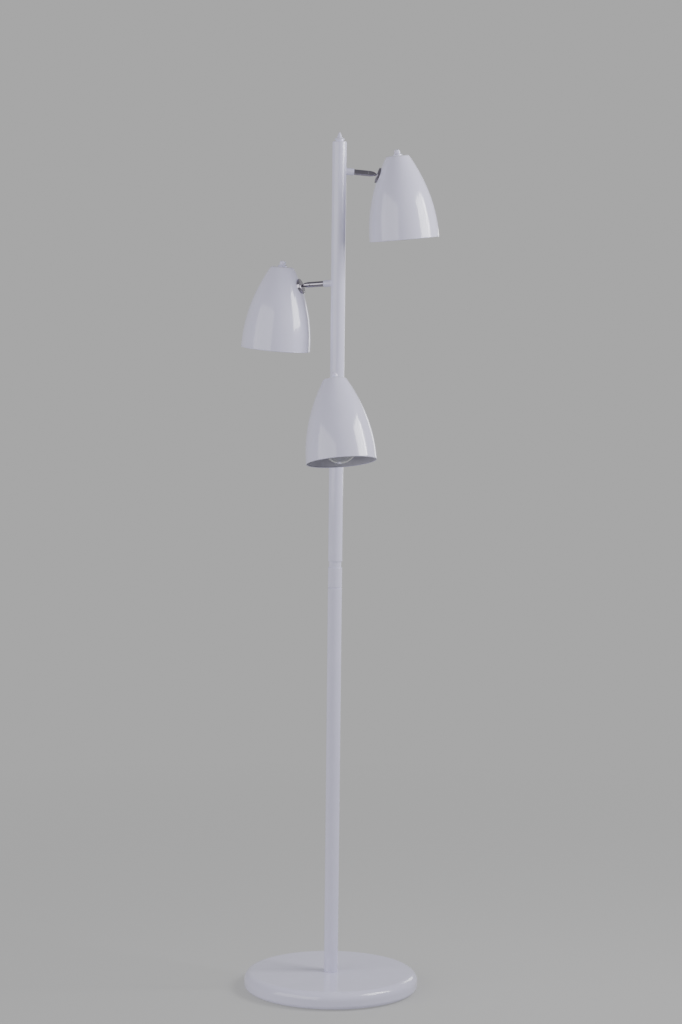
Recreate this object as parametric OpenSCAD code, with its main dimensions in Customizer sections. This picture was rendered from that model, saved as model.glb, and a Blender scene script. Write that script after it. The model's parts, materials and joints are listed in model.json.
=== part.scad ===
// Adjustable arm floor lamp: three spot heads on ball swivels, one above another on a two-piece pole.
// Millimetres, +Z up. The origin is on the floor, under the centre of the round base.
// Each head is drawn in its own frame and carried to its arm by in_arm(), in_head() and in_shade().

/* [Base] */
// Diameter of the round base
base_d = 310; // [250:1:380]
// Height of the base, with its floor pad
base_h = 32; // [26:1:42]
// Wall of the pressed base cover
base_wall = 1.5; // [1:0.1:2.5]
// Thickness of the floor pad
pad_t = 2; // [1:0.5:3]
// Thickness of the cast weight
weight_t = 12; // [10:0.5:15]
// Diameter of the weight's hub under the cover
hub_d = 60; // [50:1:80]
// Diameter of the hollow base stud
stud_d = 12; // [10:0.5:14]
// Bore of the hollow base stud
stud_bore_d = 8; // [6:0.5:8.5]
// Width of the base nut across its flats
nut_flats = 19; // [17:0.5:24]
// Thickness of the base nut
nut_t = 5; // [4:0.5:5]
// Bore of the cord grommet
grommet_bore_d = 6.6; // [5:0.2:7]

/* [Pole] */
// Outside diameter of the pole
pole_d = 25; // [22:0.5:32]
// Wall of the pole tubes
pole_wall = 1.2; // [0.8:0.1:1.8]
// Height of the top of the pole
pole_top = 1505; // [1250:5:1800]
// Height of the top of the lower pole tube
joint_z = 723; // [560:1:850]
// Height of the visible band of the pole coupling
band_h = 37; // [20:1:50]
// Height of the groove above the band
groove_h = 11; // [4:0.5:16]
// Depth of the groove above the band
groove_depth = 1.5; // [0.8:0.1:2.5]
// Length of the plugs pressed into the tube ends
plug_len = 22; // [12:1:35]
// Diameter of the coupling's screw
screw_d = 16; // [14:0.5:17]
// Bore for the wires through the coupling
wire_way_d = 10; // [8:0.5:11]
// Height of the finial above the pole
finial_h = 17; // [12:0.5:26]

/* [Arms] */
// Height of the upper arm's root on the pole axis
arm_top_z = 1455.5; // [1220:0.5:1480]
// Distance from one arm's root to the next
arm_pitch = 194.5; // [160:0.5:230]
// Downward slope of the arms, in degrees
arm_droop = 5; // [0:0.5:8]
// Distance along the arm from the pole axis to the ball's centre
arm_reach = 60.5; // [56:0.5:90]
// Diameter of the boss welded to the pole
boss_d = 12; // [11:0.5:15]
// Distance along the arm from the pole axis to the boss's face
boss_end = 26; // [20:0.5:30]
// Diameter of the arm tube
tube_d = 10; // [9.5:0.1:11]
// Bore of the arm tube
tube_bore_d = 4.4; // [3:0.1:5]
// Compass direction of each arm, in degrees from +X: upper, middle, lower
arm_azimuth = [0, 165, 270]; // [0:1:359]

/* [Head poses at rest] */
// Outward lean of each shade's rim, in degrees: upper, middle, lower
lean = [5.5, 4.5, 13.5]; // [-5:0.5:30]
// Turn of each head about its arm, in degrees: upper, middle, lower
turn = [0, 0, 5.4]; // [-20:0.1:20]

/* [Swivel] */
// Diameter of the stud's ball
ball_d = 7; // [6.6:0.1:7.2]
// Diameter of the stud's neck
neck_d = 4.6; // [4:0.1:4.8]
// Bore for the wires through the ball and the neck
neck_bore_d = 2.6; // [2:0.1:3]
// Distance from the ball's centre to the shade wall
ball_gap = 8.2; // [7.8:0.1:11]
// Diameter of the chrome flange on the shade
flange_d = 28; // [20:0.5:32]
// Thickness of the chrome flange at its middle
flange_t = 3.2; // [2:0.1:3.4]
// Length of the collar that turns on the arm
collar_len = 11.5; // [10:0.1:16]

/* [Shade] */
// Diameter of the shade at its rim
shade_d = 122; // [100:1:170]
// Height of the shade
shade_h = 145.5; // [118:0.5:190]
// Wall of the spun shade
shade_wall = 0.8; // [0.6:0.1:1.4]
// How much narrower the top is, as a share of the rim
shade_narrowing = 0.678; // [0.5:0.001:0.69]
// How soon the flank rounds over towards the top
shade_power = 2.08; // [1.6:0.01:2.6]
// Radius of the shoulder round the flat top
shoulder_r = 5.5; // [3:0.1:7]
// Radius of the rolled rim
rim_r = 1.1; // [0.8:0.1:1.6]
// Depth of the stud's hole below the shade's top, at the upright flank
stud_depth = 31.5; // [26:0.5:36]

/* [Lampholder and switch] */
// Diameter of the lampholder
holder_d = 34; // [33:0.5:36]
// Depth of the lampholder's mouth below the shade's top
holder_mouth = 66; // [64:0.5:70]
// Depth of the lampholder's socket, from its mouth to the centre contact
socket_len = 24.5; // [23:0.5:26]
// Diameter of the threaded bush through the shade's top
bush_d = 10; // [8:0.5:11]
// Diameter of the ring nut on the shade's top
ring_d = 16; // [13:0.5:18]
// Thickness of the ring nut
ring_t = 2.6; // [2:0.1:4]
// Diameter of the switch knob
knob_d = 10.5; // [9:0.5:14]
// Height of the switch knob
knob_h = 7.5; // [6:0.5:14]

/* [Bulb] */
// Diameter of the bulb
bulb_d = 60; // [45:1:75]
// Length of the bulb with its cap
bulb_len = 106; // [98:1:120]
// Diameter of the bulb's screw cap
cap_d = 26; // [25.6:0.1:26.6]

/* [Hidden] */

$fn = 64;
UPPER = 0;
MIDDLE = 1;
LOWER = 2;

enamel = "#d6d6e0";
chrome = "#b8bcc4";
steel = "#8e949c";
brass = "#c9a24a";
moulding = "#e4e2dc";
plated = "#c4c6c8";
clear_glass = [0.87, 0.9, 0.92, 0.35];
stem_glass = "#b0a890";
insulation = "#5a4a3c";
iron = "#4a4b4e";
foam = "#2c2c2e";

// Gap between pieces that turn against each other, on a round fit and face to face
running = 0.06;
face_gap = 0.3;
overcut = 1;

base_r = base_d / 2;
// The rounded edge has a narrow upright band between its upper and its lower quarter
edge_band = 1;
edge_r = (base_h - pad_t - edge_band) / 2;
edge_low_z = pad_t + edge_r;
edge_z = edge_low_z + edge_band / 2;
edge_high_z = edge_low_z + edge_band;
lip_r = base_r - edge_r;
cover_under_z = base_h - base_wall;
grommet_wall = 1.7;
grommet_d = grommet_bore_d + 2 * grommet_wall;
grommet_lip = 2.3;
grommet_proud = 2.2;
grommet_grip = 4;
weight_edge_gap = 2;
weight_r = lip_r - weight_edge_gap;
weight_top_z = pad_t + weight_t;
washer_t = 1.5;
washer_margin = 4.5;
washer_d = nut_flats + 2 * washer_margin;
recess_play = 2;
recess_d = washer_d + 2 * recess_play;
recess_web = 3.5;
recess_top_z = weight_top_z - recess_web;
nut_top_z = recess_top_z - washer_t;
nut_bottom_z = nut_top_z - nut_t;
thread_end = 0.5;
stud_bottom_z = nut_bottom_z - thread_end;
foot_len = 28;

pole_r = pole_d / 2;
pole_ir = pole_r - pole_wall;
band_top_z = joint_z + band_h;
upper_pole_z = band_top_z + groove_h;
screw_len = 25;
seam = 0.8;
finial_plug_len = 10;
finial_neck_r = 7;
finial_neck_h = 1.4;
finial_flange_r = 8.7;
finial_flange_h = 2;
finial_flange_z = 3.6;
finial_cone_r = 5.2;
finial_tip_r = 1.6;

trunk_d = 5.2;
branch_d = 2.2;
branch_hole_d = 7;
clamp_len = 18;
clamp_drop = 10;
clamp_z = base_h - clamp_drop;

nose_past_ball = 1.3;
nose_x = arm_reach + nose_past_ball;
tube_end = nose_x - collar_len;
spigot_over_ball = 0.2;
spigot_d = ball_d + spigot_over_ball;
spigot_tip = arm_reach - ball_d / 2 - 2 * face_gap;
boss_wall = 1;
boss_bore_d = tube_d - 2 * boss_wall;
slot_w = neck_d + 2 * face_gap;
slot_before_ball = 0.8;
slot_floor = arm_reach - slot_before_ball;
boss_root = 0.8 * pole_r;
tube_past_pole = 1.5;
wire_short = 1;
collar_chamfer = 0.3;
collar_straight = 3.5;
nose_wall = 0.45;
nose_d = ball_d + 2 * nose_wall;
nose_flare = 0.35;
nose_len = 3;
nose_lip = 0.25;
nose_lip_len = 1;
flange_edge = 1;
flange_step = 0.4;
saddle_depth = 6;
saddle_gap = 0.03;

shade_r = shade_d / 2;

// Outside radius of the shade at a depth below its top, and the flank's angle from the vertical there
function flank_r(depth) = shade_r * (1 - shade_narrowing * pow(1 - depth / shade_h, shade_power));
function flank_angle(depth) = atan(
    shade_r * shade_narrowing * shade_power * pow(1 - depth / shade_h, shade_power - 1) / shade_h);

stud_angle = flank_angle(stud_depth);
stud_r = flank_r(stud_depth);
// Radius of the shade wall round the stud, across the flank
saddle_r = stud_r / cos(stud_angle);
shoulder_angle = flank_angle(shoulder_r * (1 - sin(flank_angle(0))));
shoulder_depth = shoulder_r * (1 - sin(shoulder_angle));
shoulder_x = flank_r(shoulder_depth) - shoulder_r * cos(shoulder_angle);

stud_nut_flats = 8;
stud_nut_r = stud_nut_flats / 2 / cos(30);
stud_nut_t = 3.5;
inner_saddle_r = saddle_r - shade_wall;
stud_nut_z = ball_gap + shade_wall + inner_saddle_r - sqrt(pow(inner_saddle_r, 2) - pow(stud_nut_r, 2));
stud_past_nut = 1.5;
stud_tip = stud_nut_z + stud_nut_t + stud_past_nut;
wire_in_holder = 1.2;
wire_tip = ball_gap + (stud_r - holder_d / 2 + wire_in_holder) / cos(stud_angle);
ring_bevel = 0.8;

holder_shoulder = 11;
holder_neck_wall = 3;
holder_slope_w = 3;
holder_slope_h = 1;
holder_round_h = 4;
switch_top = 18;
contact_depth = holder_mouth - socket_len;
tongue_t = 0.5;
tongue_w = 6;
partition_t = 1.5;
switch_floor = contact_depth - tongue_t - partition_t;
shell_gap = 1.5;
shell_top = contact_depth + shell_gap;
shell_recess = 3;
shell_wall = 0.5;
shell_play = 0.25;
shell_d = cap_d + 2 * (shell_play + shell_wall);
spindle_d = 4;
knob_gap = 0.4;
knob_z = ring_t + knob_gap;
knob_dome = 3.2;
knob_edge = 0.6;
spindle_in_knob = 1;
rotor_d = 12;
rotor_t = 2;

cap_tip = 4;
cap_skirt = 6;
cap_len = 26;
cap_wall = 0.6;
cap_threads = 5;
cap_thread_depth = 0.9;
cap_bevel = 0.8;
solder_r = 4;
solder_h = 0.8;
insulator_r = 9;
cap_bottom = contact_depth + cap_len;
glass_t = 0.9;
glass_neck_r = cap_d / 2 - cap_wall;
bulb_r = bulb_d / 2;
bulb_tip = contact_depth + bulb_len;
bulb_centre = bulb_tip - bulb_r;
bulb_turn = 38;
neck_pull = 0.42;
seal_len = 5;
seal_depth = cap_bottom - seal_len;
stem_len = 24;
stem_foot_h = 3;
stem_sunk = 2;
stem_tip_r = 2.4;
stem_root_r = 6;
post_d = 1.2;
post_sunk = 3;
filament_d = 0.72;
filament_r = 11;
filament_over_centre = 6;

function arm_z(i) = arm_top_z - i * arm_pitch;

function arc_points(cx, cz, r, from, to, steps) = [
    for (k = [0:steps]) [
        cx + r * cos(from + (to - from) * k / steps),
        cz + r * sin(from + (to - from) * k / steps)
    ]
];

// A cubic curve between two points, leaving a along u and reaching b along v
function blend_points(a, u, v, b, steps) = [
    for (k = [1:steps])
        let (s = k / steps, q = 1 - s)
            q * q * q * a + 3 * q * q * s * (a + u) + 3 * q * s * s * (b - v) + s * s * s * b
];

module in_arm(i) {
    translate([0, 0, arm_z(i)])
        rotate([0, 0, arm_azimuth[i]])
            rotate([0, arm_droop, 0])
                children();
}

// Frame of an arm's collar: the arm's frame, turned about the arm as the head is at rest
module in_collar(i) {
    in_arm(i)
        rotate([turn[i], 0, 0])
            children();
}

// Frame of a head: origin at the ball's centre, +Z up along the shade's axis, +X away from the pole
module in_head(i) {
    in_arm(i)
        translate([arm_reach, 0, 0])
            rotate([turn[i], 0, 0])
                rotate([0, -lean[i] - arm_droop, 0])
                    children();
}

// Frame of a shade: origin at the middle of its flat top, with the head's directions
module in_shade(i) {
    in_head(i)
        translate([ball_gap * cos(stud_angle) + stud_r, 0, stud_depth - ball_gap * sin(stud_angle)])
            children();
}

// Frame of a ball stud: origin at the ball's centre, +Z along the stud into the shade, +X down the flank
module in_stud(i) {
    in_head(i)
        rotate([0, 90 + stud_angle, 0])
            children();
}

// The stud's axis seen from the shade's frame, for holes that it passes through
module along_stud() {
    translate([-stud_r, 0, -stud_depth])
        rotate([0, 90 + stud_angle, 0])
            children();
}

// A round bar along +X
module bar(d, from, to) {
    translate([from, 0, 0])
        rotate([0, 90, 0])
            cylinder(d = d, h = to - from);
}

module tube(d_out, d_in, from, to) {
    difference() {
        translate([0, 0, from])
            cylinder(d = d_out, h = to - from);
        translate([0, 0, from - overcut])
            cylinder(d = d_in, h = to - from + 2 * overcut);
    }
}

// ---- Base ----

module base_pad() {
    color(foam)
        cylinder(r = weight_r, h = pad_t);
}

module base_weight() {
    color(iron)
        difference() {
            union() {
                translate([0, 0, pad_t])
                    cylinder(r = weight_r, h = weight_t);
                translate([0, 0, pad_t])
                    cylinder(d = hub_d, h = cover_under_z - pad_t);
            }
            translate([0, 0, pad_t - overcut])
                cylinder(d = recess_d, h = recess_top_z - pad_t + overcut);
            cylinder(d = stud_d, h = base_h);
        }
}

module base_outside() {
    rotate_extrude($fn = 128)
        polygon(concat(
            [[0, base_h]],
            arc_points(lip_r, edge_high_z, edge_r, 90, 0, 12),
            arc_points(lip_r, edge_low_z, edge_r, 0, -90, 12),
            [[0, pad_t]]));
}

// A round bar along +Y at the rear edge of the base
module rear_bar(d, from, to) {
    translate([0, from, edge_z])
        rotate([-90, 0, 0])
            cylinder(d = d, h = to - from);
}

module base_cover() {
    color(enamel)
        difference() {
            rotate_extrude($fn = 128)
                polygon(concat(
                    [[stud_d / 2, base_h]],
                    arc_points(lip_r, edge_high_z, edge_r, 90, 0, 12),
                    arc_points(lip_r, edge_low_z, edge_r, 0, -90, 12),
                    arc_points(lip_r, edge_low_z, edge_r - base_wall, -90, 0, 12),
                    arc_points(lip_r, edge_high_z, edge_r - base_wall, 0, 90, 12),
                    [[stud_d / 2, cover_under_z]]));
            rear_bar(grommet_d, lip_r, base_r + overcut);
        }
}

module cord_grommet() {
    color(foam)
        difference() {
            union() {
                difference() {
                    rear_bar(grommet_d + 2 * grommet_lip, base_r - grommet_grip, base_r + grommet_proud);
                    base_outside();
                }
                rear_bar(grommet_d, base_r - base_wall - grommet_grip, base_r + grommet_proud / 2);
            }
            rear_bar(grommet_bore_d, lip_r, base_r + grommet_proud + overcut);
        }
}

module base_stud() {
    color(steel)
        tube(stud_d, stud_bore_d, stud_bottom_z, base_h + foot_len);
}

module base_washer() {
    color(steel)
        tube(washer_d, stud_d, nut_top_z, recess_top_z);
}

module base_nut() {
    color(steel)
        difference() {
            translate([0, 0, nut_bottom_z])
                cylinder(r = nut_flats / 2 / cos(30), h = nut_top_z - nut_bottom_z, $fn = 6);
            cylinder(d = stud_d, h = base_h);
        }
}

// ---- Pole ----

module foot_bush() {
    color(steel)
        tube(2 * pole_ir, stud_d, base_h, base_h + foot_len);
}

module lower_pole() {
    color(enamel)
        tube(pole_d, 2 * pole_ir, base_h, joint_z);
}

module coupling_socket() {
    color(enamel)
        difference() {
            rotate_extrude()
                polygon([
                    [0, joint_z - plug_len],
                    [pole_ir, joint_z - plug_len],
                    [pole_ir, joint_z],
                    [pole_r - seam, joint_z],
                    [pole_r - seam, joint_z + 1.5 * seam],
                    [pole_r, joint_z + 2.5 * seam],
                    [pole_r, band_top_z - seam],
                    [pole_r - seam, band_top_z],
                    [0, band_top_z]
                ]);
            translate([0, 0, joint_z - plug_len - overcut])
                cylinder(d = wire_way_d, h = plug_len + band_h + 2 * overcut);
            translate([0, 0, band_top_z - screw_len])
                cylinder(d = screw_d, h = screw_len + overcut);
        }
}

module coupling_screw() {
    color(enamel)
        difference() {
            union() {
                translate([0, 0, band_top_z - screw_len])
                    cylinder(d = screw_d, h = screw_len);
                translate([0, 0, band_top_z])
                    cylinder(r = pole_r - groove_depth, h = groove_h);
                translate([0, 0, upper_pole_z])
                    cylinder(r = pole_ir, h = plug_len);
            }
            translate([0, 0, band_top_z - screw_len - overcut])
                cylinder(d = wire_way_d, h = screw_len + groove_h + plug_len + 2 * overcut);
        }
}

module upper_pole() {
    color(enamel)
        difference() {
            tube(pole_d, 2 * pole_ir, upper_pole_z, pole_top);
            for (i = [UPPER:LOWER])
                in_arm(i)
                    bar(branch_hole_d, 0, pole_d);
        }
}

module pole_finial() {
    flange_z = pole_top + finial_flange_z;
    neck_top_z = flange_z - 3 * seam / 4;
    color(enamel)
        rotate_extrude()
            polygon(concat(
                [
                    [0, pole_top - finial_plug_len],
                    [pole_ir, pole_top - finial_plug_len],
                    [pole_ir, pole_top],
                    [pole_r - seam / 2, pole_top],
                    [pole_r - 2 * seam, neck_top_z - finial_neck_h - seam / 2],
                    [finial_neck_r, neck_top_z - finial_neck_h],
                    [finial_neck_r, neck_top_z],
                    [finial_flange_r, flange_z],
                    [finial_flange_r, flange_z + finial_flange_h],
                    [finial_cone_r, flange_z + finial_flange_h + 2 * seam]
                ],
                arc_points(0, pole_top + finial_h - finial_tip_r, finial_tip_r, 12, 90, 6)));
}

module pole_wiring() {
    color(insulation) {
        translate([0, 0, base_h])
            cylinder(d = trunk_d, h = arm_top_z - base_h);
        translate([0, 0, clamp_z])
            cylinder(d = stud_bore_d, h = clamp_len);
        for (i = [UPPER:LOWER])
            in_arm(i)
                bar(branch_d, 0, spigot_tip - wire_short);
    }
}

// ---- Arm and swivel, drawn along +X from the pole axis ----

module arm_boss_shape() {
    difference() {
        bar(boss_d, boss_root, boss_end);
        rotate([0, -arm_droop, 0])
            cylinder(r = pole_r, h = 4 * boss_d, center = true);
        bar(boss_bore_d, 0, boss_end + overcut);
    }
}

module arm_tube_shape() {
    difference() {
        union() {
            bar(boss_bore_d, pole_r + tube_past_pole, boss_end);
            bar(tube_d, boss_end, tube_end);
            bar(spigot_d, tube_end, spigot_tip);
        }
        bar(tube_bore_d, 0, arm_reach);
    }
}

module swivel_collar_shape() {
    start = tube_end + face_gap;
    seat_d = ball_d + 2 * running;
    bore_d = spigot_d + 2 * running;
    difference() {
        rotate([0, 90, 0])
            rotate_extrude()
                polygon([
                    [0, start],
                    [tube_d / 2 - collar_chamfer, start],
                    [tube_d / 2, start + collar_chamfer],
                    [tube_d / 2, start + collar_straight],
                    [nose_d / 2 + nose_flare, nose_x - nose_len],
                    [nose_d / 2 + nose_lip, nose_x - nose_lip_len],
                    [nose_d / 2, nose_x - collar_chamfer],
                    [nose_d / 2 - collar_chamfer, nose_x],
                    [0, nose_x]
                ]);
        bar(bore_d, start - overcut, arm_reach);
        translate([arm_reach, 0, 0])
            sphere(d = seat_d);
        translate([slot_floor, -slot_w / 2, -tube_d])
            cube([tube_d, slot_w, 2 * tube_d]);
    }
}

// ---- Head pieces on the stud, drawn in the stud's frame ----

module ball_stud_shape() {
    difference() {
        union() {
            sphere(d = ball_d);
            cylinder(d = neck_d, h = stud_tip);
        }
        translate([0, 0, -ball_d])
            cylinder(d = neck_bore_d, h = stud_tip + 2 * ball_d);
    }
}

module swivel_flange_shape() {
    front = ball_gap - flange_t;
    difference() {
        rotate_extrude()
            polygon(concat(
                [[neck_d / 2, front]],
                arc_points(
                    flange_d / 2 - flange_edge, front + flange_step + flange_edge, flange_edge, -90, 0, 6),
                [[flange_d / 2, ball_gap + saddle_depth], [neck_d / 2, ball_gap + saddle_depth]]));
        translate([0, 0, ball_gap + saddle_r])
            rotate([0, 90, 0])
                cylinder(r = saddle_r + saddle_gap, h = 2 * flange_d, center = true, $fn = 96);
    }
}

module stud_nut_shape() {
    difference() {
        translate([0, 0, stud_nut_z])
            cylinder(r = stud_nut_r, h = stud_nut_t, $fn = 6);
        cylinder(d = neck_d, h = stud_tip + overcut);
    }
}

module head_wire_shape() {
    translate([0, 0, -ball_d / 4])
        cylinder(d = neck_bore_d, h = wire_tip + ball_d / 4);
}

// ---- Head pieces on the shade's axis, drawn in the shade's frame ----

module shade_shape() {
    steps = 22;
    flank = [for (k = [1:steps]) shoulder_depth + (shade_h - shoulder_depth) * k / steps];
    outside = concat(
        [[0, 0]],
        arc_points(shoulder_x, -shoulder_r, shoulder_r, 90, shoulder_angle, 6),
        [for (d = flank) [flank_r(d), -d]]);
    inside = concat(
        [for (k = [steps - 1:-1:0]) let (d = flank[k]) [flank_r(d) - shade_wall / cos(flank_angle(d)), -d]],
        arc_points(shoulder_x, -shoulder_r, shoulder_r - shade_wall, shoulder_angle, 90, 6),
        [[0, -shade_wall]]);
    difference() {
        union() {
            rotate_extrude($fn = 128)
                polygon(concat(outside, inside));
            rotate_extrude($fn = 128)
                translate([shade_r - rim_r / 2, rim_r - shade_h])
                    circle(r = rim_r, $fn = 20);
        }
        translate([0, 0, -shoulder_r])
            cylinder(d = bush_d, h = 2 * shoulder_r);
        along_stud()
            cylinder(d = neck_d, h = 8 * shade_wall, center = true);
    }
}

module ring_nut_shape() {
    difference() {
        rotate_extrude()
            polygon([
                [0, 0],
                [ring_d / 2, 0],
                [ring_d / 2, ring_t - ring_bevel],
                [ring_d / 2 - ring_bevel, ring_t],
                [0, ring_t]
            ]);
        translate([0, 0, -overcut])
            cylinder(d = bush_d, h = ring_t + 2 * overcut);
    }
}

// The knob with its spindle, which turns the switch rotor inside the lampholder
module switch_knob_shape() {
    rotate_extrude()
        polygon(concat(
            [[0, knob_z], [knob_d / 2 - knob_edge, knob_z], [knob_d / 2, knob_z + knob_edge]],
            arc_points(knob_d / 2 - knob_dome, knob_z + knob_h - knob_dome, knob_dome, 0, 90, 8),
            [[0, knob_z + knob_h]]));
    translate([0, 0, -switch_top - face_gap - rotor_t])
        cylinder(d = spindle_d, h = knob_z + switch_top + face_gap + rotor_t + spindle_in_knob);
    translate([0, 0, -switch_top - face_gap - rotor_t])
        cylinder(d = rotor_d, h = rotor_t);
}

module lampholder_shape() {
    difference() {
        rotate_extrude()
            polygon([
                [0, ring_t],
                [bush_d / 2, ring_t],
                [bush_d / 2, -shade_wall],
                [bush_d / 2 + holder_neck_wall, -shade_wall],
                [bush_d / 2 + holder_neck_wall, -holder_shoulder],
                [holder_d / 2 - holder_slope_w, -holder_shoulder - holder_slope_h],
                [holder_d / 2, -holder_shoulder - holder_round_h],
                [holder_d / 2, -holder_mouth],
                [0, -holder_mouth]
            ]);
        translate([0, 0, -switch_top - overcut])
            cylinder(d = spindle_d + 2 * running, h = switch_top + ring_t + 2 * overcut);
        translate([0, 0, -switch_floor])
            cylinder(d = shell_d, h = switch_floor - switch_top);
        translate([0, 0, -holder_mouth - overcut])
            cylinder(d = shell_d, h = holder_mouth - switch_floor - partition_t + overcut);
        along_stud()
            cylinder(d = neck_bore_d, h = wire_tip - ball_gap);
    }
}

// The brass screw shell and, behind it, the centre contact's tongue
module holder_contacts_shape() {
    tube(shell_d, shell_d - 2 * shell_wall, -holder_mouth + shell_recess, -shell_top);
    translate([-shell_d / 3, -tongue_w / 2, -contact_depth])
        cube([2 * shell_d / 3, tongue_w, tongue_t]);
}

module bulb_glass_shape() {
    turn_at = [bulb_r * cos(bulb_turn), -bulb_centre + bulb_r * sin(bulb_turn)];
    neck_at = [glass_neck_r, -cap_bottom];
    pull = (neck_at[1] - turn_at[1]) * neck_pull;
    leave = [-sin(bulb_turn), cos(bulb_turn)] * pull;
    outer = concat(
        arc_points(0, -bulb_centre, bulb_r, -90, bulb_turn, 22),
        blend_points(turn_at, leave, [0, pull], neck_at, 10),
        [[glass_neck_r, -seal_depth]]);
    inner_turn = turn_at - [glass_t * cos(bulb_turn), glass_t * sin(bulb_turn)];
    inner_neck = neck_at - [glass_t, 0];
    inner = concat(
        [[0, -bulb_tip + glass_t]],
        arc_points(0, -bulb_centre, bulb_r - glass_t, -88, bulb_turn, 22),
        blend_points(inner_turn, leave, [0, pull], inner_neck, 10),
        [[glass_neck_r - glass_t, -seal_depth]]);
    rotate_extrude($fn = 96)
        polygon(concat(outer, [for (k = [len(inner) - 1:-1:0]) inner[k]]));
}

module bulb_cap_shape() {
    steps = 6 * cap_threads;
    thread_top = contact_depth + cap_tip;
    thread_len = cap_len - cap_tip - cap_skirt;
    difference() {
        rotate_extrude()
            polygon(concat(
                [
                    [0, -contact_depth],
                    [solder_r, -contact_depth],
                    [solder_r, -contact_depth - solder_h],
                    [insulator_r, -thread_top]
                ],
                [for (k = [0:steps]) [
                    cap_d / 2 - cap_thread_depth / 2 * (1 - sin(360 * k / 6)),
                    -thread_top - thread_len * k / steps
                ]],
                [
                    [cap_d / 2, -cap_bottom + cap_skirt - cap_bevel],
                    [cap_d / 2, -cap_bottom],
                    [0, -cap_bottom]
                ]));
        translate([0, 0, -cap_bottom - overcut])
            cylinder(r = glass_neck_r, h = cap_bottom - seal_depth + overcut);
    }
}

// Glass stem with its two support wires and the curved filament between them
module bulb_filament_shape() {
    ring_depth = bulb_centre - filament_over_centre;
    post_top = seal_depth + stem_len - post_sunk;
    post_drop = ring_depth - post_top;
    post_spread = filament_r - 1;
    translate([0, 0, -seal_depth - stem_foot_h])
        cylinder(r = glass_neck_r - glass_t, h = stem_foot_h);
    translate([0, 0, -seal_depth - stem_len])
        cylinder(r1 = stem_tip_r, r2 = stem_root_r, h = stem_len - stem_sunk);
    for (side = [-1, 1])
        translate([0, side, -post_top])
            rotate([180 + side * atan(post_spread / post_drop), 0, 0])
                cylinder(d = post_d, h = norm([post_spread, post_drop]) + post_d, $fn = 16);
    translate([0, 0, -ring_depth])
        rotate([0, 0, -90])
            rotate_extrude(angle = 180, $fn = 48)
                translate([filament_r, 0])
                    circle(d = filament_d, $fn = 16);
}

// ---- The three heads, each piece in its own sub-part ----

module upper_arm_boss() { color(enamel) in_arm(UPPER) arm_boss_shape(); }
module upper_arm_tube() { color(chrome) in_arm(UPPER) arm_tube_shape(); }
module upper_swivel_collar() { color(chrome) in_collar(UPPER) swivel_collar_shape(); }
module upper_ball_stud() { color(chrome) in_stud(UPPER) ball_stud_shape(); }
module upper_swivel_flange() { color(chrome) in_stud(UPPER) swivel_flange_shape(); }
module upper_stud_nut() { color(steel) in_stud(UPPER) stud_nut_shape(); }
module upper_shade() { color(enamel) in_shade(UPPER) shade_shape(); }
module upper_ring_nut() { color(enamel) in_shade(UPPER) ring_nut_shape(); }
module upper_switch_knob() { color(enamel) in_shade(UPPER) switch_knob_shape(); }
module upper_lampholder() { color(moulding) in_shade(UPPER) lampholder_shape(); }
module upper_holder_contacts() { color(brass) in_shade(UPPER) holder_contacts_shape(); }
module upper_bulb_glass() { color(clear_glass) in_shade(UPPER) bulb_glass_shape(); }
module upper_bulb_cap() { color(plated) in_shade(UPPER) bulb_cap_shape(); }
module upper_bulb_filament() { color(stem_glass) in_shade(UPPER) bulb_filament_shape(); }
module upper_head_wire() { color(insulation) in_stud(UPPER) head_wire_shape(); }

module middle_arm_boss() { color(enamel) in_arm(MIDDLE) arm_boss_shape(); }
module middle_arm_tube() { color(chrome) in_arm(MIDDLE) arm_tube_shape(); }
module middle_swivel_collar() { color(chrome) in_collar(MIDDLE) swivel_collar_shape(); }
module middle_ball_stud() { color(chrome) in_stud(MIDDLE) ball_stud_shape(); }
module middle_swivel_flange() { color(chrome) in_stud(MIDDLE) swivel_flange_shape(); }
module middle_stud_nut() { color(steel) in_stud(MIDDLE) stud_nut_shape(); }
module middle_shade() { color(enamel) in_shade(MIDDLE) shade_shape(); }
module middle_ring_nut() { color(enamel) in_shade(MIDDLE) ring_nut_shape(); }
module middle_switch_knob() { color(enamel) in_shade(MIDDLE) switch_knob_shape(); }
module middle_lampholder() { color(moulding) in_shade(MIDDLE) lampholder_shape(); }
module middle_holder_contacts() { color(brass) in_shade(MIDDLE) holder_contacts_shape(); }
module middle_bulb_glass() { color(clear_glass) in_shade(MIDDLE) bulb_glass_shape(); }
module middle_bulb_cap() { color(plated) in_shade(MIDDLE) bulb_cap_shape(); }
module middle_bulb_filament() { color(stem_glass) in_shade(MIDDLE) bulb_filament_shape(); }
module middle_head_wire() { color(insulation) in_stud(MIDDLE) head_wire_shape(); }

module lower_arm_boss() { color(enamel) in_arm(LOWER) arm_boss_shape(); }
module lower_arm_tube() { color(chrome) in_arm(LOWER) arm_tube_shape(); }
module lower_swivel_collar() { color(chrome) in_collar(LOWER) swivel_collar_shape(); }
module lower_ball_stud() { color(chrome) in_stud(LOWER) ball_stud_shape(); }
module lower_swivel_flange() { color(chrome) in_stud(LOWER) swivel_flange_shape(); }
module lower_stud_nut() { color(steel) in_stud(LOWER) stud_nut_shape(); }
module lower_shade() { color(enamel) in_shade(LOWER) shade_shape(); }
module lower_ring_nut() { color(enamel) in_shade(LOWER) ring_nut_shape(); }
module lower_switch_knob() { color(enamel) in_shade(LOWER) switch_knob_shape(); }
module lower_lampholder() { color(moulding) in_shade(LOWER) lampholder_shape(); }
module lower_holder_contacts() { color(brass) in_shade(LOWER) holder_contacts_shape(); }
module lower_bulb_glass() { color(clear_glass) in_shade(LOWER) bulb_glass_shape(); }
module lower_bulb_cap() { color(plated) in_shade(LOWER) bulb_cap_shape(); }
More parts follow.
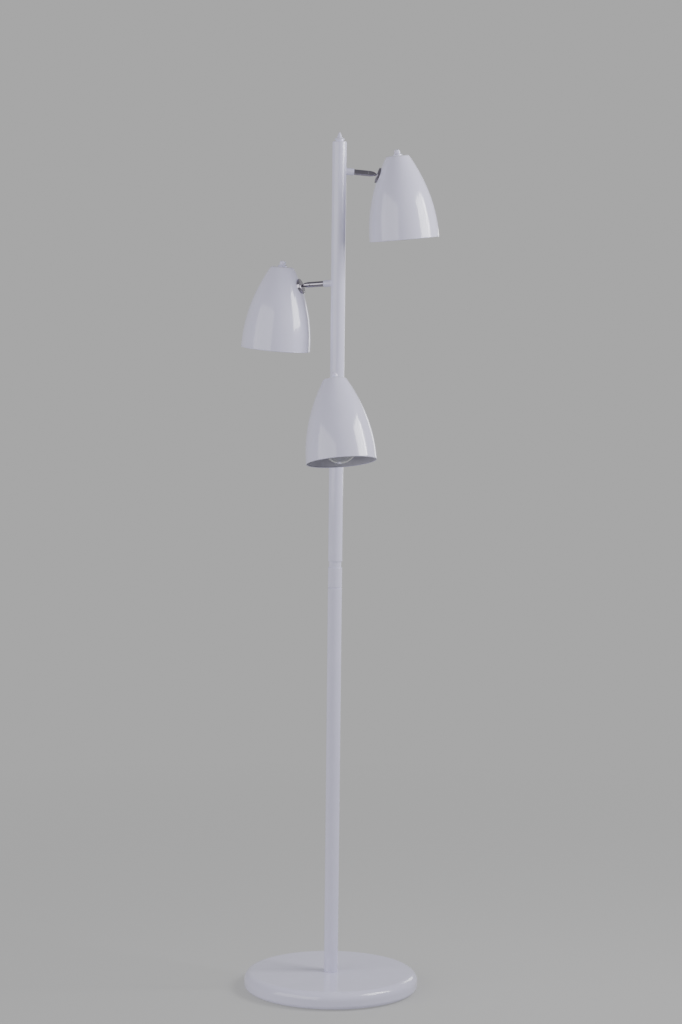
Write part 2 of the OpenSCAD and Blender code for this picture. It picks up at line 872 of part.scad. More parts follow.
module lower_bulb_filament() { color(stem_glass) in_shade(LOWER) bulb_filament_shape(); }
module lower_head_wire() { color(insulation) in_stud(LOWER) head_wire_shape(); }

base_pad();
base_weight();
base_cover();
cord_grommet();
base_stud();
base_washer();
base_nut();
foot_bush();
lower_pole();
coupling_socket();
coupling_screw();
upper_pole();
pole_finial();
pole_wiring();
upper_arm_boss();
upper_arm_tube();
upper_swivel_collar();
upper_ball_stud();
upper_swivel_flange();
upper_stud_nut();
upper_shade();
upper_ring_nut();
upper_switch_knob();
upper_lampholder();
upper_holder_contacts();
upper_bulb_glass();
upper_bulb_cap();
upper_bulb_filament();
upper_head_wire();
middle_arm_boss();
middle_arm_tube();
middle_swivel_collar();
middle_ball_stud();
middle_swivel_flange();
middle_stud_nut();
middle_shade();
middle_ring_nut();
middle_switch_knob();
middle_lampholder();
middle_holder_contacts();
middle_bulb_glass();
middle_bulb_cap();
middle_bulb_filament();
middle_head_wire();
lower_arm_boss();
lower_arm_tube();
lower_swivel_collar();
lower_ball_stud();
lower_swivel_flange();
lower_stud_nut();
lower_shade();
lower_ring_nut();
lower_switch_knob();
lower_lampholder();
lower_holder_contacts();
lower_bulb_glass();
lower_bulb_cap();
lower_bulb_filament();
lower_head_wire();
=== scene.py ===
"""Adjustable arm floor lamp: its visible pieces, their finishes, the stage, the lights and the camera.

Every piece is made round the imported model, in metres. A place is a matrix: where a piece's own
axes stand in the model. A piece that is turned on a lathe has its place's Z for its axis.
"""

import json
import math

import bmesh
import bpy
from bpy.props import FloatProperty, FloatVectorProperty, IntProperty, PointerProperty
from mathutils import Matrix, Vector


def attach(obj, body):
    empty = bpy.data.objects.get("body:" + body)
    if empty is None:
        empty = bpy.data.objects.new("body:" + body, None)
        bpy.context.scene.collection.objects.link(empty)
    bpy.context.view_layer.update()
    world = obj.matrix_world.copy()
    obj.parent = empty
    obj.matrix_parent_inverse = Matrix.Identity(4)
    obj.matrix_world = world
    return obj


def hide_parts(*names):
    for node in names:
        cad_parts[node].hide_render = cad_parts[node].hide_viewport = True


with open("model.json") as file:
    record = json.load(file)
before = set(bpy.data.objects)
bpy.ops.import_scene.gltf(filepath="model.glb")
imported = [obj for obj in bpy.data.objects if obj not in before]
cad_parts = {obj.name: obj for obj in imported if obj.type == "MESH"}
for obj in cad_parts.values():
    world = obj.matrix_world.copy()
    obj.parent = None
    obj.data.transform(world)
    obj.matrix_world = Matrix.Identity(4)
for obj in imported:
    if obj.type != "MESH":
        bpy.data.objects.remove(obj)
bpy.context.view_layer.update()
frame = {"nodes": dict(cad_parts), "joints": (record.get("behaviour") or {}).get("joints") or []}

bl_info = {
    "name": "Adjustable arm floor lamp",
    "version": (1, 0, 0),
    "blender": (4, 5, 0),
    "location": "3D View > Sidebar > Floor lamp",
    "description": "Makes the visible pieces and finishes of a three-head floor lamp",
    "category": "Add Mesh",
}

HEADS = ("upper", "middle", "lower")
MM = 0.001
TURN = 2 * math.pi
UP = Vector((0, 0, 1))
# Lengths closer than this are the same length
SAME = 1e-6
# Degrees between two faces from which their edge is shaded sharp
CREASE = 32


# ---- Sizes and colours ----


def length(name, description, default, **limits):
    """A length property whose default is given in millimetres."""
    return FloatProperty(
        name=name, description=description, default=default * MM, min=0, unit="LENGTH",
        precision=5, **limits)


def colour(name, description, default):
    """A colour property."""
    return FloatVectorProperty(
        name=name, description=description, default=default, size=3, min=0, max=1, subtype="COLOR")


def share(name, description, default):
    """A property from 0 to 1."""
    return FloatProperty(name=name, description=description, default=default, min=0, max=1, subtype="FACTOR")


class FinishColours(bpy.types.PropertyGroup):
    enamel: colour("Enamel", "Baked white enamel of the pole, base and shades", (0.70, 0.685, 0.86))
    chrome: colour("Chrome", "Bright plating of the arms and swivels", (0.35, 0.33, 0.38))
    zinc: colour("Zinc", "Plated steel of nuts, studs and bushes", (0.52, 0.53, 0.55))
    brass: colour("Brass", "Contacts inside the lampholders", (0.72, 0.50, 0.22))
    cap: colour("Screw cap", "Pressed metal of the bulbs' screw caps", (0.72, 0.72, 0.73))
    moulding: colour("Lampholder", "Heat-resistant moulding of the lampholders", (0.66, 0.65, 0.62))
    rubber: colour("Rubber", "Grommet and floor pad", (0.035, 0.035, 0.04))
    casting: colour("Casting", "Painted casting of the base weight", (0.07, 0.07, 0.075))
    sheath: colour("Wire sheath", "Sleeve over the wires", (0.30, 0.25, 0.20))
    stem: colour("Stem glass", "Pressed glass stem inside the bulb", (0.80, 0.83, 0.84))
    tungsten: colour("Tungsten", "Filament wire", (0.24, 0.23, 0.24))
    floor: colour("Floor", "Pale studio floor", (0.28, 0.28, 0.28))
    backdrop: colour("Backdrop", "Studio background behind the lamp", (0.47, 0.47, 0.47))
    room: colour("Room", "Studio in front of the lamp", (0.30, 0.30, 0.31))
    ceiling: colour("Ceiling", "Studio above the lamp", (0.28, 0.28, 0.29))


class BaseSizes(bpy.types.PropertyGroup):
    wall: length("Cover wall", "Wall of the pressed cover", 1.5)
    foot_gap: length("Foot gap", "Rounding where the pole stands on the cover", 0.9)
    grommet_lip: length("Grommet lip", "Width of the grommet's outer lip", 2.3)
    grommet_wall: length("Grommet wall", "Wall of the grommet's barrel", 1.7)
    inner_lip: length("Inner lip", "Thickness of the grommet's lip inside the cover", 1.6)
    grommet_slot: length("Grommet slot", "Gap between the grommet's lips, round the cover's wall", 1.8)


class PoleSizes(bpy.types.PropertyGroup):
    wall: length("Tube wall", "Wall of the pole tubes", 1.2)
    edge: length("Tube edge", "Rounding of the tube ends", 0.35)
    seam: length("Seam", "Bevel of the coupling band's edges", 0.8)
    screw_length: length("Screw length", "Length of the coupling's screw", 25)
    screw_width: length("Screw diameter", "Diameter of the coupling's screw", 16)
    wire_way: length("Wire way", "Bore for the wires through the coupling", 10)
    groove_depth: length("Groove depth", "Depth of the groove above the band", 1.5)
    finial_shoulder: length("Finial shoulder", "Height of the finial's shoulder above the pole", 1.2)
    finial_neck: length("Finial neck", "Radius of the finial's neck", 7)
    finial_neck_foot: length("Neck foot", "Height of the foot of the finial's neck above the pole", 1.6)
    finial_cone: length("Finial cone", "Radius of the finial's cone at its foot", 5.2)
    finial_tip: length("Finial tip", "Radius of the finial's rounded tip", 1.6)
    finial_flange_low: length("Flange foot", "Height of the finial's flange above the pole", 3.6)
    finial_flange: length("Flange thickness", "Thickness of the finial's flange", 2.0)
    finial_flange_inset: length("Flange inset", "From the pole's side in to the finial's flange", 3.8)
    finial_undercut: length("Flange undercut", "Height of the bevel under the finial's flange", 0.6)


class SwivelSizes(bpy.types.PropertyGroup):
    weld: length("Weld", "Reach of the painted weld round the boss", 1.1)
    boss_round: length("Boss rounding", "Rounding of the boss's outer edge", 1.2)
    tube_bore: length("Tube bore", "Bore of the arm tube", 4.4)
    tube_step: length("Tube step", "Step of the arm tube where it enters the boss", 1.0)
    spigot_over: length("Spigot", "How much the spigot's radius is over the ball's", 0.1)
    collar_gap: length("Collar gap", "Gap between the arm tube's shoulder and the collar", 0.3)
    edge: length("Plated edge", "Rounding of the plated edges", 0.35)
    collar_straight: length("Collar straight", "Straight length of the collar before it tapers", 3.5)
    collar_bend: length("Collar bend", "Rounding where the collar's taper begins and ends", 3.0)
    bore_room: length("Bore room", "Room round the ball behind its seat", 0.16)
    seat_play: length("Seat play", "Play between the ball and its seat", 0.06)
    seat_lip: length("Seat lip", "From the seat's front edge to the collar's end", 0.1)
    seat_back: length("Seat back", "From the ball's centre back to the end of its seat", 1.2)
    seat_turn: FloatProperty(
        name="Seat turn", description="How far the seat goes round behind the ball's widest place",
        default=0.25, subtype="ANGLE")
    slot_play: length("Slot play", "Play between the stud's neck and the slot, each side", 0.3)
    slot_round: length("Slot rounding", "Rounding of the slot's floor", 0.6)
    slot_start: length("Slot start", "How far before the ball's centre the slot begins", 0.8)
    nose: length("Nose", "Radius of the collar at its open end", 4.0)
    nose_taper: length("Nose taper", "How much wider the collar is where its nose begins", 0.3)
    nose_length: length("Nose length", "Length of the collar's nose", 3.0)
    stud_chamfer: length("Stud chamfer", "Chamfer of the stud's threaded end", 0.3)
    thread_pitch: length("Stud pitch", "Pitch of the stud's thread", 0.8)
    thread_depth: length("Stud thread depth", "Depth of the stud's thread", 0.35)
    flange_round: length("Flange rounding", "Rounding of the flange's front edge", 1.0)
    flange_step: length("Flange step", "Width of the flat ring at the flange's edge", 3.4)
    flange_sink: length("Flange sink", "How far the flat ring lies behind the flange's middle", 0.4)
    nut_chamfer: length("Nut chamfer", "Height of the chamfer on the stud nut's corners", 0.35)


class ShadeSizes(bpy.types.PropertyGroup):
    wall: length("Shade wall", "Wall of the spun shade", 0.8)
    shoulder: length("Shoulder", "Rounding between the flat top and the flank", 5.5)
    rim: length("Rim", "Radius of the rolled rim", 1.1)
    bush_hole: length("Bush hole", "Diameter of the hole in the flat top", 10)
    narrowing: share("Narrowing", "How much narrower the top is, as a share of the rim", 0.678)
    power: FloatProperty(
        name="Rounding power", description="How soon the flank rounds over towards the top",
        default=2.08, min=1, max=4)
    rings: IntProperty(name="Rings", description="Rings of faces down the flank", default=44, min=8)


class SwitchSizes(bpy.types.PropertyGroup):
    nut_bevel: length("Nut bevel", "Bevel of the ring nut's top edge", 0.7)
    nut_knurl: length("Nut knurl", "Depth of the ring nut's knurling", 0.12)
    nut_teeth: IntProperty(name="Nut teeth", description="Teeth round the ring nut", default=56, min=3)
    flute: length("Flute", "Depth of the knob's flutes", 0.28)
    flutes: IntProperty(name="Flutes", description="Flutes round the knob", default=16, min=3)
    flute_start: length("Flute start", "Height over which the flutes grow to their full depth", 1.2)
    knob_round: length("Knob rounding", "Rounding of the knob's foot", 0.6)
    dome: length("Dome", "Rounding of the knob's top", 3.2)
    spindle: length("Spindle", "Diameter of the switch spindle", 4)
    rotor: length("Rotor", "Thickness of the switch rotor", 2)


class HolderSizes(bpy.types.PropertyGroup):
    neck: length("Neck", "Radius of the lampholder's neck", 8)
    shoulder: length("Shoulder", "Depth of the lampholder's shoulder below the shade's top", 11)
    skirt_round: length("Skirt rounding", "Rounding of the lampholder's shoulder", 3)
    shoulder_fall: length("Shoulder fall", "How far the shoulder slopes down to the skirt", 1)
    spindle_play: length("Spindle play", "Play between the spindle and its hole", 0.06)
    spindle_hole: length("Spindle hole", "Depth of the spindle's hole below the bush's end", 1)
    contact_cover: length("Contact cover", "How far the mould's inside lies below the contacts' top", 0.5)
    groove: length("Groove", "Depth of the grooves round the skirt", 0.6)
    groove_width: length("Groove width", "Width of a groove round the skirt", 2)
    groove_side: length("Groove side", "Width of each sloping side of a groove", 0.6)
    rib_start: length("Rib start", "From the upper groove down to the ribs", 3)
    rib_end: length("Rib end", "Height of the ribs' lower end above the skirt's rim", 9)
    rib_gap: length("Rib gap", "From the ribs down to the lower groove", 1)
    rib: length("Rib", "Depth of the ribbing on the skirt", 0.35)
    ribs: IntProperty(name="Ribs", description="Ribs round the skirt", default=36, min=3)


class BulbSizes(bpy.types.PropertyGroup):
    glass: length("Glass", "Wall of the bulb's glass", 0.9)
    globe_turn: FloatProperty(
        name="Globe turn", description="Latitude at which the globe gives way to the neck",
        default=math.radians(38), subtype="ANGLE")
    pitch: length("Cap pitch", "Pitch of the screw cap's thread", 3.2)
    thread: length("Cap thread depth", "Depth of the screw cap's thread", 0.9)
    skirt: length("Cap skirt", "Plain skirt of the screw cap", 6)
    thread_start: length("Thread start", "From the cap's contact to its thread", 4)
    crown: length("Crown", "Radius of the cap between its thread and the insulator", 10.5)
    insulator_seat: length("Insulator seat", "Radius of the cap's end round the insulator", 9)
    seat_depth: length("Seat depth", "From the contact down to the cap's end", 1.6)
    insulator: length("Insulator", "Radius of the cap's insulator", 8.6)
    insulator_foot: length("Insulator foot", "From the contact down to the insulator's underside", 1.7)
    insulator_rim: length("Insulator rim", "From the contact down to the insulator's rim", 1.3)
    solder: length("Solder", "Radius of the solder dot", 4)
    solder_flat: length("Solder flat", "Radius of the solder dot's flat top", 3)
    solder_height: length("Solder height", "Height of the solder dot", 0.6)
    stem: length("Stem", "Length of the glass stem", 27)
    stem_tip: length("Stem tip", "Radius of the stem's tip", 2.2)
    stem_waist: length("Stem waist", "Radius of the stem's waist", 2.6)
    waist_height: length("Waist height", "From the stem's tip to its waist", 9)
    stem_flare: length("Stem flare", "Radius of the stem where it flares", 5)
    flare_start: length("Flare start", "From the stem's seal to the start of its flare", 6)
    flare_end: length("Flare end", "From the stem's seal to the end of its flare", 3)
    support: length("Support wire", "Thickness of the filament's support wires", 0.6)
    support_root: length("Support root", "How deep the support wires are set in the stem", 3)
    support_aside: length("Support aside", "From the bulb's axis to a support wire's root", 1)
    knee_aside: length("Knee aside", "From the bulb's axis to a support wire's knee", 1.2)
    knee_drop: length("Knee drop", "From the stem's tip to a support wire's knee", 1)
    hook: length("Hook", "Radius of the hooks that hold the filament", 0.6)
    hook_inset: length("Hook inset", "From the widest point of the wires in to the hooks", 0.4)
    coil: length("Coil", "Radius of the filament's coil", 0.42)
    coil_wire: length("Coil wire", "Thickness of the filament wire", 0.17)
    coil_turns: IntProperty(name="Coil turns", description="Turns of the filament's coil", default=46, min=4)


class StudioSizes(bpy.types.PropertyGroup):
    distance: length("Camera distance", "From the lamp's axis to the camera", 5200)
    aside: length("Camera aside", "Camera's place to the right of the lamp's axis", 9.37)
    height: length("Camera height", "Height of the camera above the floor", 1406.5)
    lens: FloatProperty(
        name="Lens", description="Focal length on a 36 mm sensor", default=104.36, subtype="DISTANCE_CAMERA")
    pitch: FloatProperty(
        name="Pitch", description="How far the camera looks down",
        default=math.radians(6.02), subtype="ANGLE")
    roll: FloatProperty(
        name="Roll", description="How far the camera leans",
        default=math.radians(0.617), subtype="ANGLE")
    floor_radius: length("Floor radius", "Radius of the floor", 2400)
    floor_fade: share("Floor fade", "Where the floor begins to fade, as a share of its radius", 0.12)
    floor_end: share("Floor end", "Where the floor is gone, as a share of its radius", 0.9)
    # Painted glow of the floor: it emits the backdrop's colour, which lifts the shadows cast on it
    floor_painted_glow: share("Floor glow", "Light that the floor takes from the backdrop", 0.52)
    aim: length("Aim", "Highest place on the lamp that the lights look at", 1250)
    key_power: FloatProperty(name="Key light", description="Soft box in front", default=32, subtype="POWER")
    side_power: FloatProperty(name="Side light", description="Soft light, right", default=10, subtype="POWER")
    edge_power: FloatProperty(name="Edge light", description="Light behind", default=4, subtype="POWER")
    fill_power: FloatProperty(name="Fill light", description="Large light, left", default=70, subtype="POWER")


GROUPS = {
    "lamp_colours": FinishColours,
    "lamp_base": BaseSizes,
    "lamp_pole": PoleSizes,
    "lamp_swivel": SwivelSizes,
    "lamp_shade": ShadeSizes,
    "lamp_switch": SwitchSizes,
    "lamp_holder": HolderSizes,
    "lamp_bulb": BulbSizes,
    "lamp_studio": StudioSizes,
}


# ---- Places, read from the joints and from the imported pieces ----


def place_of(origin, x, y, z):
    """A place from its origin and its three axes."""
    return Matrix.Translation(origin) @ Matrix((x, y, z)).transposed().to_4x4()


def joint(name):
    """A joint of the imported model, by name."""
    return next(j for j in frame["joints"] if j["name"] == name)


def points(node, place=None):
    """The points of a CAD node, seen in a place's own axes."""
    back = (place or Matrix()).inverted()
    return [back @ vertex.co for vertex in frame["nodes"][node].data.vertices]


def span(node, place=None):
    """Lowest and highest corner of a CAD node, seen in a place's own axes."""
    seen = points(node, place)
    low = Vector(min(p[k] for p in seen) for k in range(3))
    high = Vector(max(p[k] for p in seen) for k in range(3))
    return low, high


def ball_centre(head):
    """Where a head's ball turns."""
    return Vector(joint(f"{head}_head_tilt")["pos_m"])


def arm_place(head):
    """On the pole's axis, with Z out along the arm and X upwards across it."""
    out = Vector(joint(f"{head}_arm_turn")["axis"]).normalized()
    side = out.cross(UP).normalized()
    ball = ball_centre(head)
    reach = ball.xy.length / out.xy.length
    return place_of(ball - reach * out, side.cross(out), side, out)


def collar_place(head):
    """At the ball's centre, with Z out along the arm and Y along the tilt axis."""
    out = Vector(joint(f"{head}_arm_turn")["axis"]).normalized()
    side = Vector(joint(f"{head}_head_tilt")["axis"]).normalized()
    return place_of(ball_centre(head), side.cross(out), side, out)


def shade_place(head):
    """In the middle of the shade's flat top, with Z up the shade's axis and X away from the pole."""
    switch = joint(f"{head}_switch_turn")
    up = Vector(switch["axis"]).normalized()
    side = -Vector(joint(f"{head}_head_tilt")["axis"]).normalized()
    place = place_of(Vector(switch["pos_m"]), side.cross(up), side, up)
    return place @ Matrix.Translation((0, 0, span(f"{head}_shade", place)[1].z))


def stud_place(head):
    """At the ball's centre, with Z along the stud into the shade and Y along the tilt axis."""
    ball = ball_centre(head)
    nut = points(f"{head}_stud_nut")
    along = (sum(nut, Vector()) / len(nut) - ball).normalized()
    side = -Vector(joint(f"{head}_head_tilt")["axis"]).normalized()
    side = (side - side.dot(along) * along).normalized()
    return place_of(ball, side.cross(along), side, along)


# ---- Outlines ----


def rounded(corners, closed=True, steps=6):
    """An outline through (x, y, radius) corners, each rounded with an arc of its radius."""
    outline = []
    count = len(corners)
    for k, (x, y, radius) in enumerate(corners):
        here = Vector((x, y))
        if radius == 0 or (not closed and k in (0, count - 1)):
            outline.append(here)
            continue
        back = Vector(corners[k - 1][:2]) - here
        ahead = Vector(corners[(k + 1) % count][:2]) - here
        half = back.angle(ahead) / 2
        tangent = min(radius / math.tan(half), 0.499 * back.length, 0.499 * ahead.length)
        radius = tangent * math.tan(half)
        centre = here + (back.normalized() + ahead.normalized()).normalized() * radius / math.sin(half)
        first = here + back.normalized() * tangent - centre
        last = here + ahead.normalized() * tangent - centre
        start = math.atan2(first.y, first.x)
        sweep = math.remainder(math.atan2(last.y, last.x) - start, TURN)
        outline += arc(centre, radius, start, start + sweep, steps)
    return outline


def arc(centre, radius, start, end, steps):
    """Points along an arc, both ends included."""
    angles = [start + (end - start) * k / steps for k in range(steps + 1)]
    return [Vector((centre[0] + radius * math.cos(a), centre[1] + radius * math.sin(a))) for a in angles]


def ease(a, leave, arrive, b, steps):
    """A cubic curve from a to b, leaving along one vector and arriving along the other."""
    curve = []
    for k in range(1, steps + 1):
        s = k / steps
        q = 1 - s
        curve.append(q ** 3 * a + 3 * q * q * s * (a + leave) + 3 * q * s * s * (b - arrive) + s ** 3 * b)
    return curve


def line(a, b, steps):
    """Points after a up to b, evenly spaced."""
    return [Vector(a).lerp(Vector(b), k / steps) for k in range(1, steps + 1)]


# ---- Meshes ----


def lathe(outline, segments=96, closed=True, shape=None):
    """A bmesh turned from (radius, height) points. shape(radius, height, angle) may change a radius."""
    mesh = bmesh.new()
    rings = []
    for radius, height in outline:
        if radius < SAME:
            rings.append([mesh.verts.new((0, 0, height))])
            continue
        ring = []
        for k in range(segments):
            angle = TURN * k / segments
            r = shape(radius, height, angle) if shape else radius
            ring.append(mesh.verts.new((r * math.cos(angle), r * math.sin(angle), height)))
        rings.append(ring)
    pairs = list(zip(rings, rings[1:]))
    if closed and len(rings[0]) > 1:
        pairs.append((rings[-1], rings[0]))
    for low, high in pairs:
        for k in range(segments):
            loop = [low[k % len(low)], low[(k + 1) % segments % len(low)],
                    high[(k + 1) % segments % len(high)], high[k % len(high)]]
            loop = list(dict.fromkeys(loop))
            if len(loop) > 2:
                mesh.faces.new(loop)
    return mesh


def tube_mesh(path, radius, sides=12):
    """A bmesh tube with closed ends that follows a list of points."""
    mesh = bmesh.new()
    rings = []
    across = None
    for k, here in enumerate(path):
        along = (path[min(k + 1, len(path) - 1)] - path[max(k - 1, 0)]).normalized()
        if across is None:
            across = along.orthogonal().normalized()
        across = (across - across.dot(along) * along).normalized()
        other = along.cross(across)
        angles = [TURN * s / sides for s in range(sides)]
        rings.append([
            mesh.verts.new(here + radius * (math.cos(a) * across + math.sin(a) * other)) for a in angles])
    for low, high in zip(rings, rings[1:]):
        for s in range(sides):
            mesh.faces.new([low[s], low[(s + 1) % sides], high[(s + 1) % sides], high[s]])
    mesh.faces.new(rings[0][::-1])
    mesh.faces.new(rings[-1])
    return mesh


def mark_edges(mesh, crease=CREASE):
    """Shades an edge sharp where its faces meet at crease degrees or more."""
    for edge in mesh.edges:
        edge.smooth = edge.calc_face_angle(0) < math.radians(crease)


def piece(name, mesh, place, body, slot, *replaced, finishes=None, crease=CREASE):
    """Makes an object of a bmesh, stands it in its place, and ties it to its body, slot and CAD nodes."""
    bmesh.ops.recalc_face_normals(mesh, faces=mesh.faces)
    for face in mesh.faces:
        face.smooth = True
    mark_edges(mesh, crease)
    data = bpy.data.meshes.new(name)
    mesh.to_mesh(data)
    mesh.free()
    made = bpy.data.objects.new(name, data)
    bpy.context.scene.collection.objects.link(made)
    made.matrix_world = place
    for finish in finishes or [slot]:
        data.materials.append(material(finish))
    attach(made, body)
    if replaced:
        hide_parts(*replaced)
    return made


def even_shading(made):
    """Keeps flat faces flat beside their rounded edges."""
    even = made.modifiers.new("Even shading", "WEIGHTED_NORMAL")
    even.keep_sharp = True


def cut(made, cutter_mesh, place):
    """Cuts a bmesh's shape out of a piece."""
    data = bpy.data.meshes.new("cutter")
    bmesh.ops.recalc_face_normals(cutter_mesh, faces=cutter_mesh.faces)
    cutter_mesh.to_mesh(data)
    cutter_mesh.free()
    cutter = bpy.data.objects.new("cutter", data)
    bpy.context.scene.collection.objects.link(cutter)
    cutter.matrix_world = place
    carve = made.modifiers.new("Cut", "BOOLEAN")
    carve.object = cutter
    carve.solver = "EXACT"
    bpy.context.view_layer.update()
    seen = made.evaluated_get(bpy.context.evaluated_depsgraph_get())
    result = bpy.data.meshes.new_from_object(seen)
    made.modifiers.clear()
    made.data = result
    bpy.data.objects.remove(cutter)
    mesh = bmesh.new()
    mesh.from_mesh(result)
    mark_edges(mesh)
    mesh.to_mesh(result)
    mesh.free()


# ---- Finishes ----


class Finish:
    """A material whose nodes are added one by one and end in one Principled shader."""

    def __init__(self, name):
        self.material = bpy.data.materials.new(name)
        self.material.use_nodes = True
        self.tree = self.material.node_tree
        self.shader = self.tree.nodes["Principled BSDF"]
        self.where = self.add("ShaderNodeTexCoord").outputs["Object"]

    def add(self, kind, **settings):
        """Adds a node."""
        node = self.tree.nodes.new(kind)
        for name, value in settings.items():
            setattr(node, name, value)
        return node

    def join(self, source, target):
        """Links one socket to another."""
        self.tree.links.new(source, target)

    def set(self, **values):
        """Sets the shader's own sockets; an underscore stands for a space."""
        for name, value in values.items():
            self.shader.inputs[name.replace("_", " ")].default_value = value

    def noise(self, size, detail=3.0, stretch=(1, 1, 1), rough=0.5):
        """Noise whose lumps are about size across, stretched along the axes."""
        scale = self.add("ShaderNodeMapping")
        scale.inputs["Scale"].default_value = [1 / (size * s) for s in stretch]
        self.join(self.where, scale.inputs["Vector"])
        cloud = self.add("ShaderNodeTexNoise")
        cloud.inputs["Scale"].default_value = 1
        cloud.inputs["Detail"].default_value = detail
        cloud.inputs["Roughness"].default_value = rough
        self.join(scale.outputs["Vector"], cloud.inputs["Vector"])
        return cloud.outputs["Fac"]

    def ranged(self, source, low, high, start=0.3, end=0.7):
        """Maps a factor onto a range of values."""
        node = self.add("ShaderNodeMapRange")
        for socket, value in (("From Min", start), ("From Max", end), ("To Min", low), ("To Max", high)):
            node.inputs[socket].default_value = value
        self.join(source, node.inputs["Value"])
        return node.outputs["Result"]

    def mixed(self, factor, first, second):
        """Mixes two colours by a factor."""
        node = self.add("ShaderNodeMix", data_type="RGBA")
        self.join(factor, node.inputs["Factor"])
        node.inputs["A"].default_value = (*first, 1)
        node.inputs["B"].default_value = (*second, 1)
        return node.outputs["Result"]

    def colour(self, base, spread, size, tint=(1, 1, 1)):
        """Base colour that drifts by a share of itself over patches of a size."""
        darker = [c * (1 - spread) * t for c, t in zip(base, tint)]
        lighter = [min(1, c * (1 + spread)) for c in base]
        factor = self.ranged(self.noise(size, 4), 0, 1)
        self.join(self.mixed(factor, darker, lighter), self.shader.inputs["Base Color"])

    def roughness(self, low, high, size, stretch=(1, 1, 1)):
        """Roughness that drifts between two values over patches of a size."""
        self.join(self.ranged(self.noise(size, 5, stretch), low, high), self.shader.inputs["Roughness"])

    def bump(self, *layers):
        """Stacks (height source, height in metres) layers of bump."""
        normal = None
        for source, height in layers:
            node = self.add("ShaderNodeBump")
            node.inputs["Strength"].default_value = 1
            node.inputs["Distance"].default_value = height
            self.join(source, node.inputs["Height"])
            if normal:
                self.join(normal, node.inputs["Normal"])
            normal = node.outputs["Normal"]
        self.join(normal, self.shader.inputs["Normal"])


def enamel(finish, colours):
    """Baked gloss enamel: a faint orange peel, dust in the gloss and a slightly uneven tone."""
    finish.colour(colours.enamel, 0.02, 0.05, (1.0, 1.0, 1.004))
    finish.roughness(0.10, 0.20, 0.025)
    finish.bump((finish.noise(0.0035, 2), 6e-6), (finish.noise(0.0006, 2), 1.0e-6))
    finish.set(Specular_IOR_Level=0.5, Coat_Weight=0.35, Coat_Roughness=0.04, Coat_IOR=1.5)


def inner_enamel(finish, colours):
    """The same enamel inside the shades, thinner and drier where the spray reached last."""
    dry = [channel * kept for channel, kept in zip(colours.enamel, (1.0, 1.0, 0.9))]
    finish.colour(dry, 0.045, 0.02, (0.99, 0.99, 1.0))
    finish.roughness(0.32, 0.5, 0.012)
    finish.bump((finish.noise(0.0012, 4), 1.2e-5))
    finish.set(Specular_IOR_Level=0.45)


def chrome(finish, colours):
    """Bright plating with fine polishing lines round the piece and faint finger marks."""
    finish.colour(colours.chrome, 0.05, 0.008, (1.0, 0.99, 1.01))
    finish.roughness(0.05, 0.16, 0.006)
    finish.bump((finish.noise(0.0004, 3, (6, 6, 1)), 5e-7), (finish.noise(0.004, 2), 4e-6))
    finish.set(Metallic=1.0)


def zinc(finish, colours):
    """Zinc plating: cloudy, with turned marks."""
    finish.colour(colours.zinc, 0.16, 0.004, (1.02, 1.0, 0.94))
    finish.roughness(0.28, 0.5, 0.003)
    finish.bump((finish.noise(0.0005, 4, (5, 5, 1)), 8e-6))
    finish.set(Metallic=1.0)


def brass(finish, colours):
    """Pressed brass, tarnished in patches."""
    finish.colour(colours.brass, 0.22, 0.005, (0.9, 0.85, 0.75))
    finish.roughness(0.2, 0.42, 0.003)
    finish.bump((finish.noise(0.0007, 4), 8e-6))
    finish.set(Metallic=1.0)


def cap_metal(finish, colours):
    """Pressed aluminium of the screw caps, dulled along the drawing lines."""
    finish.colour(colours.cap, 0.1, 0.003, (0.98, 0.98, 0.96))
    finish.roughness(0.22, 0.4, 0.002, (1, 1, 6))
    finish.bump((finish.noise(0.0006, 4, (1, 1, 5)), 7e-6))
    finish.set(Metallic=1.0)


def casting(finish, colours):
    """Sand casting under dark paint."""
    finish.colour(colours.casting, 0.35, 0.006)
    finish.roughness(0.55, 0.8, 0.004)
    finish.bump((finish.noise(0.002, 8, rough=0.7), 2.5e-4))


def rubber(finish, colours):
    """Soft black moulding with a fine, dusty grain."""
    finish.colour(colours.rubber, 0.35, 0.004, (1, 1, 1.05))
    finish.roughness(0.55, 0.78, 0.003)
    finish.bump((finish.noise(0.0007, 5), 3e-5))
    finish.set(Specular_IOR_Level=0.4)


def foam(finish, colours):
    """Dense foam, full of small cells."""
    finish.colour(colours.rubber, 0.5, 0.003)
    cells = finish.add("ShaderNodeTexVoronoi")
    cells.inputs["Scale"].default_value = 1100
    finish.join(finish.where, cells.inputs["Vector"])
    finish.roughness(0.8, 0.95, 0.004)
    finish.bump((cells.outputs["Distance"], 3e-4), (finish.noise(0.004, 3), 2e-4))


def white_plastic(finish, colours):
    """White gloss moulding of the knobs, handled smooth, with a faint grain."""
    finish.colour(colours.enamel, 0.03, 0.006, (1.0, 0.995, 0.985))
    finish.roughness(0.12, 0.3, 0.003)
    finish.bump((finish.noise(0.0008, 3), 4e-6))
    finish.set(Specular_IOR_Level=0.5, Subsurface_Weight=0.05, Subsurface_Scale=0.002)


def moulding(finish, colours):
    """Heat-resistant moulding with a matt, speckled skin."""
    finish.colour(colours.moulding, 0.07, 0.002, (1.0, 0.98, 0.94))
    finish.roughness(0.38, 0.6, 0.002)
    finish.bump((finish.noise(0.0007, 6), 1.6e-5))
    finish.set(Specular_IOR_Level=0.5)


def clear_glass(finish, colours):
    """Clear blown glass, barely uneven."""
    finish.colour((0.955, 0.965, 0.97), 0.01, 0.02)
    finish.roughness(0.0, 0.02, 0.01)
    finish.bump((finish.noise(0.012, 2), 1.5e-5))
    finish.set(Transmission_Weight=1.0, IOR=1.5, Specular_IOR_Level=0.5)


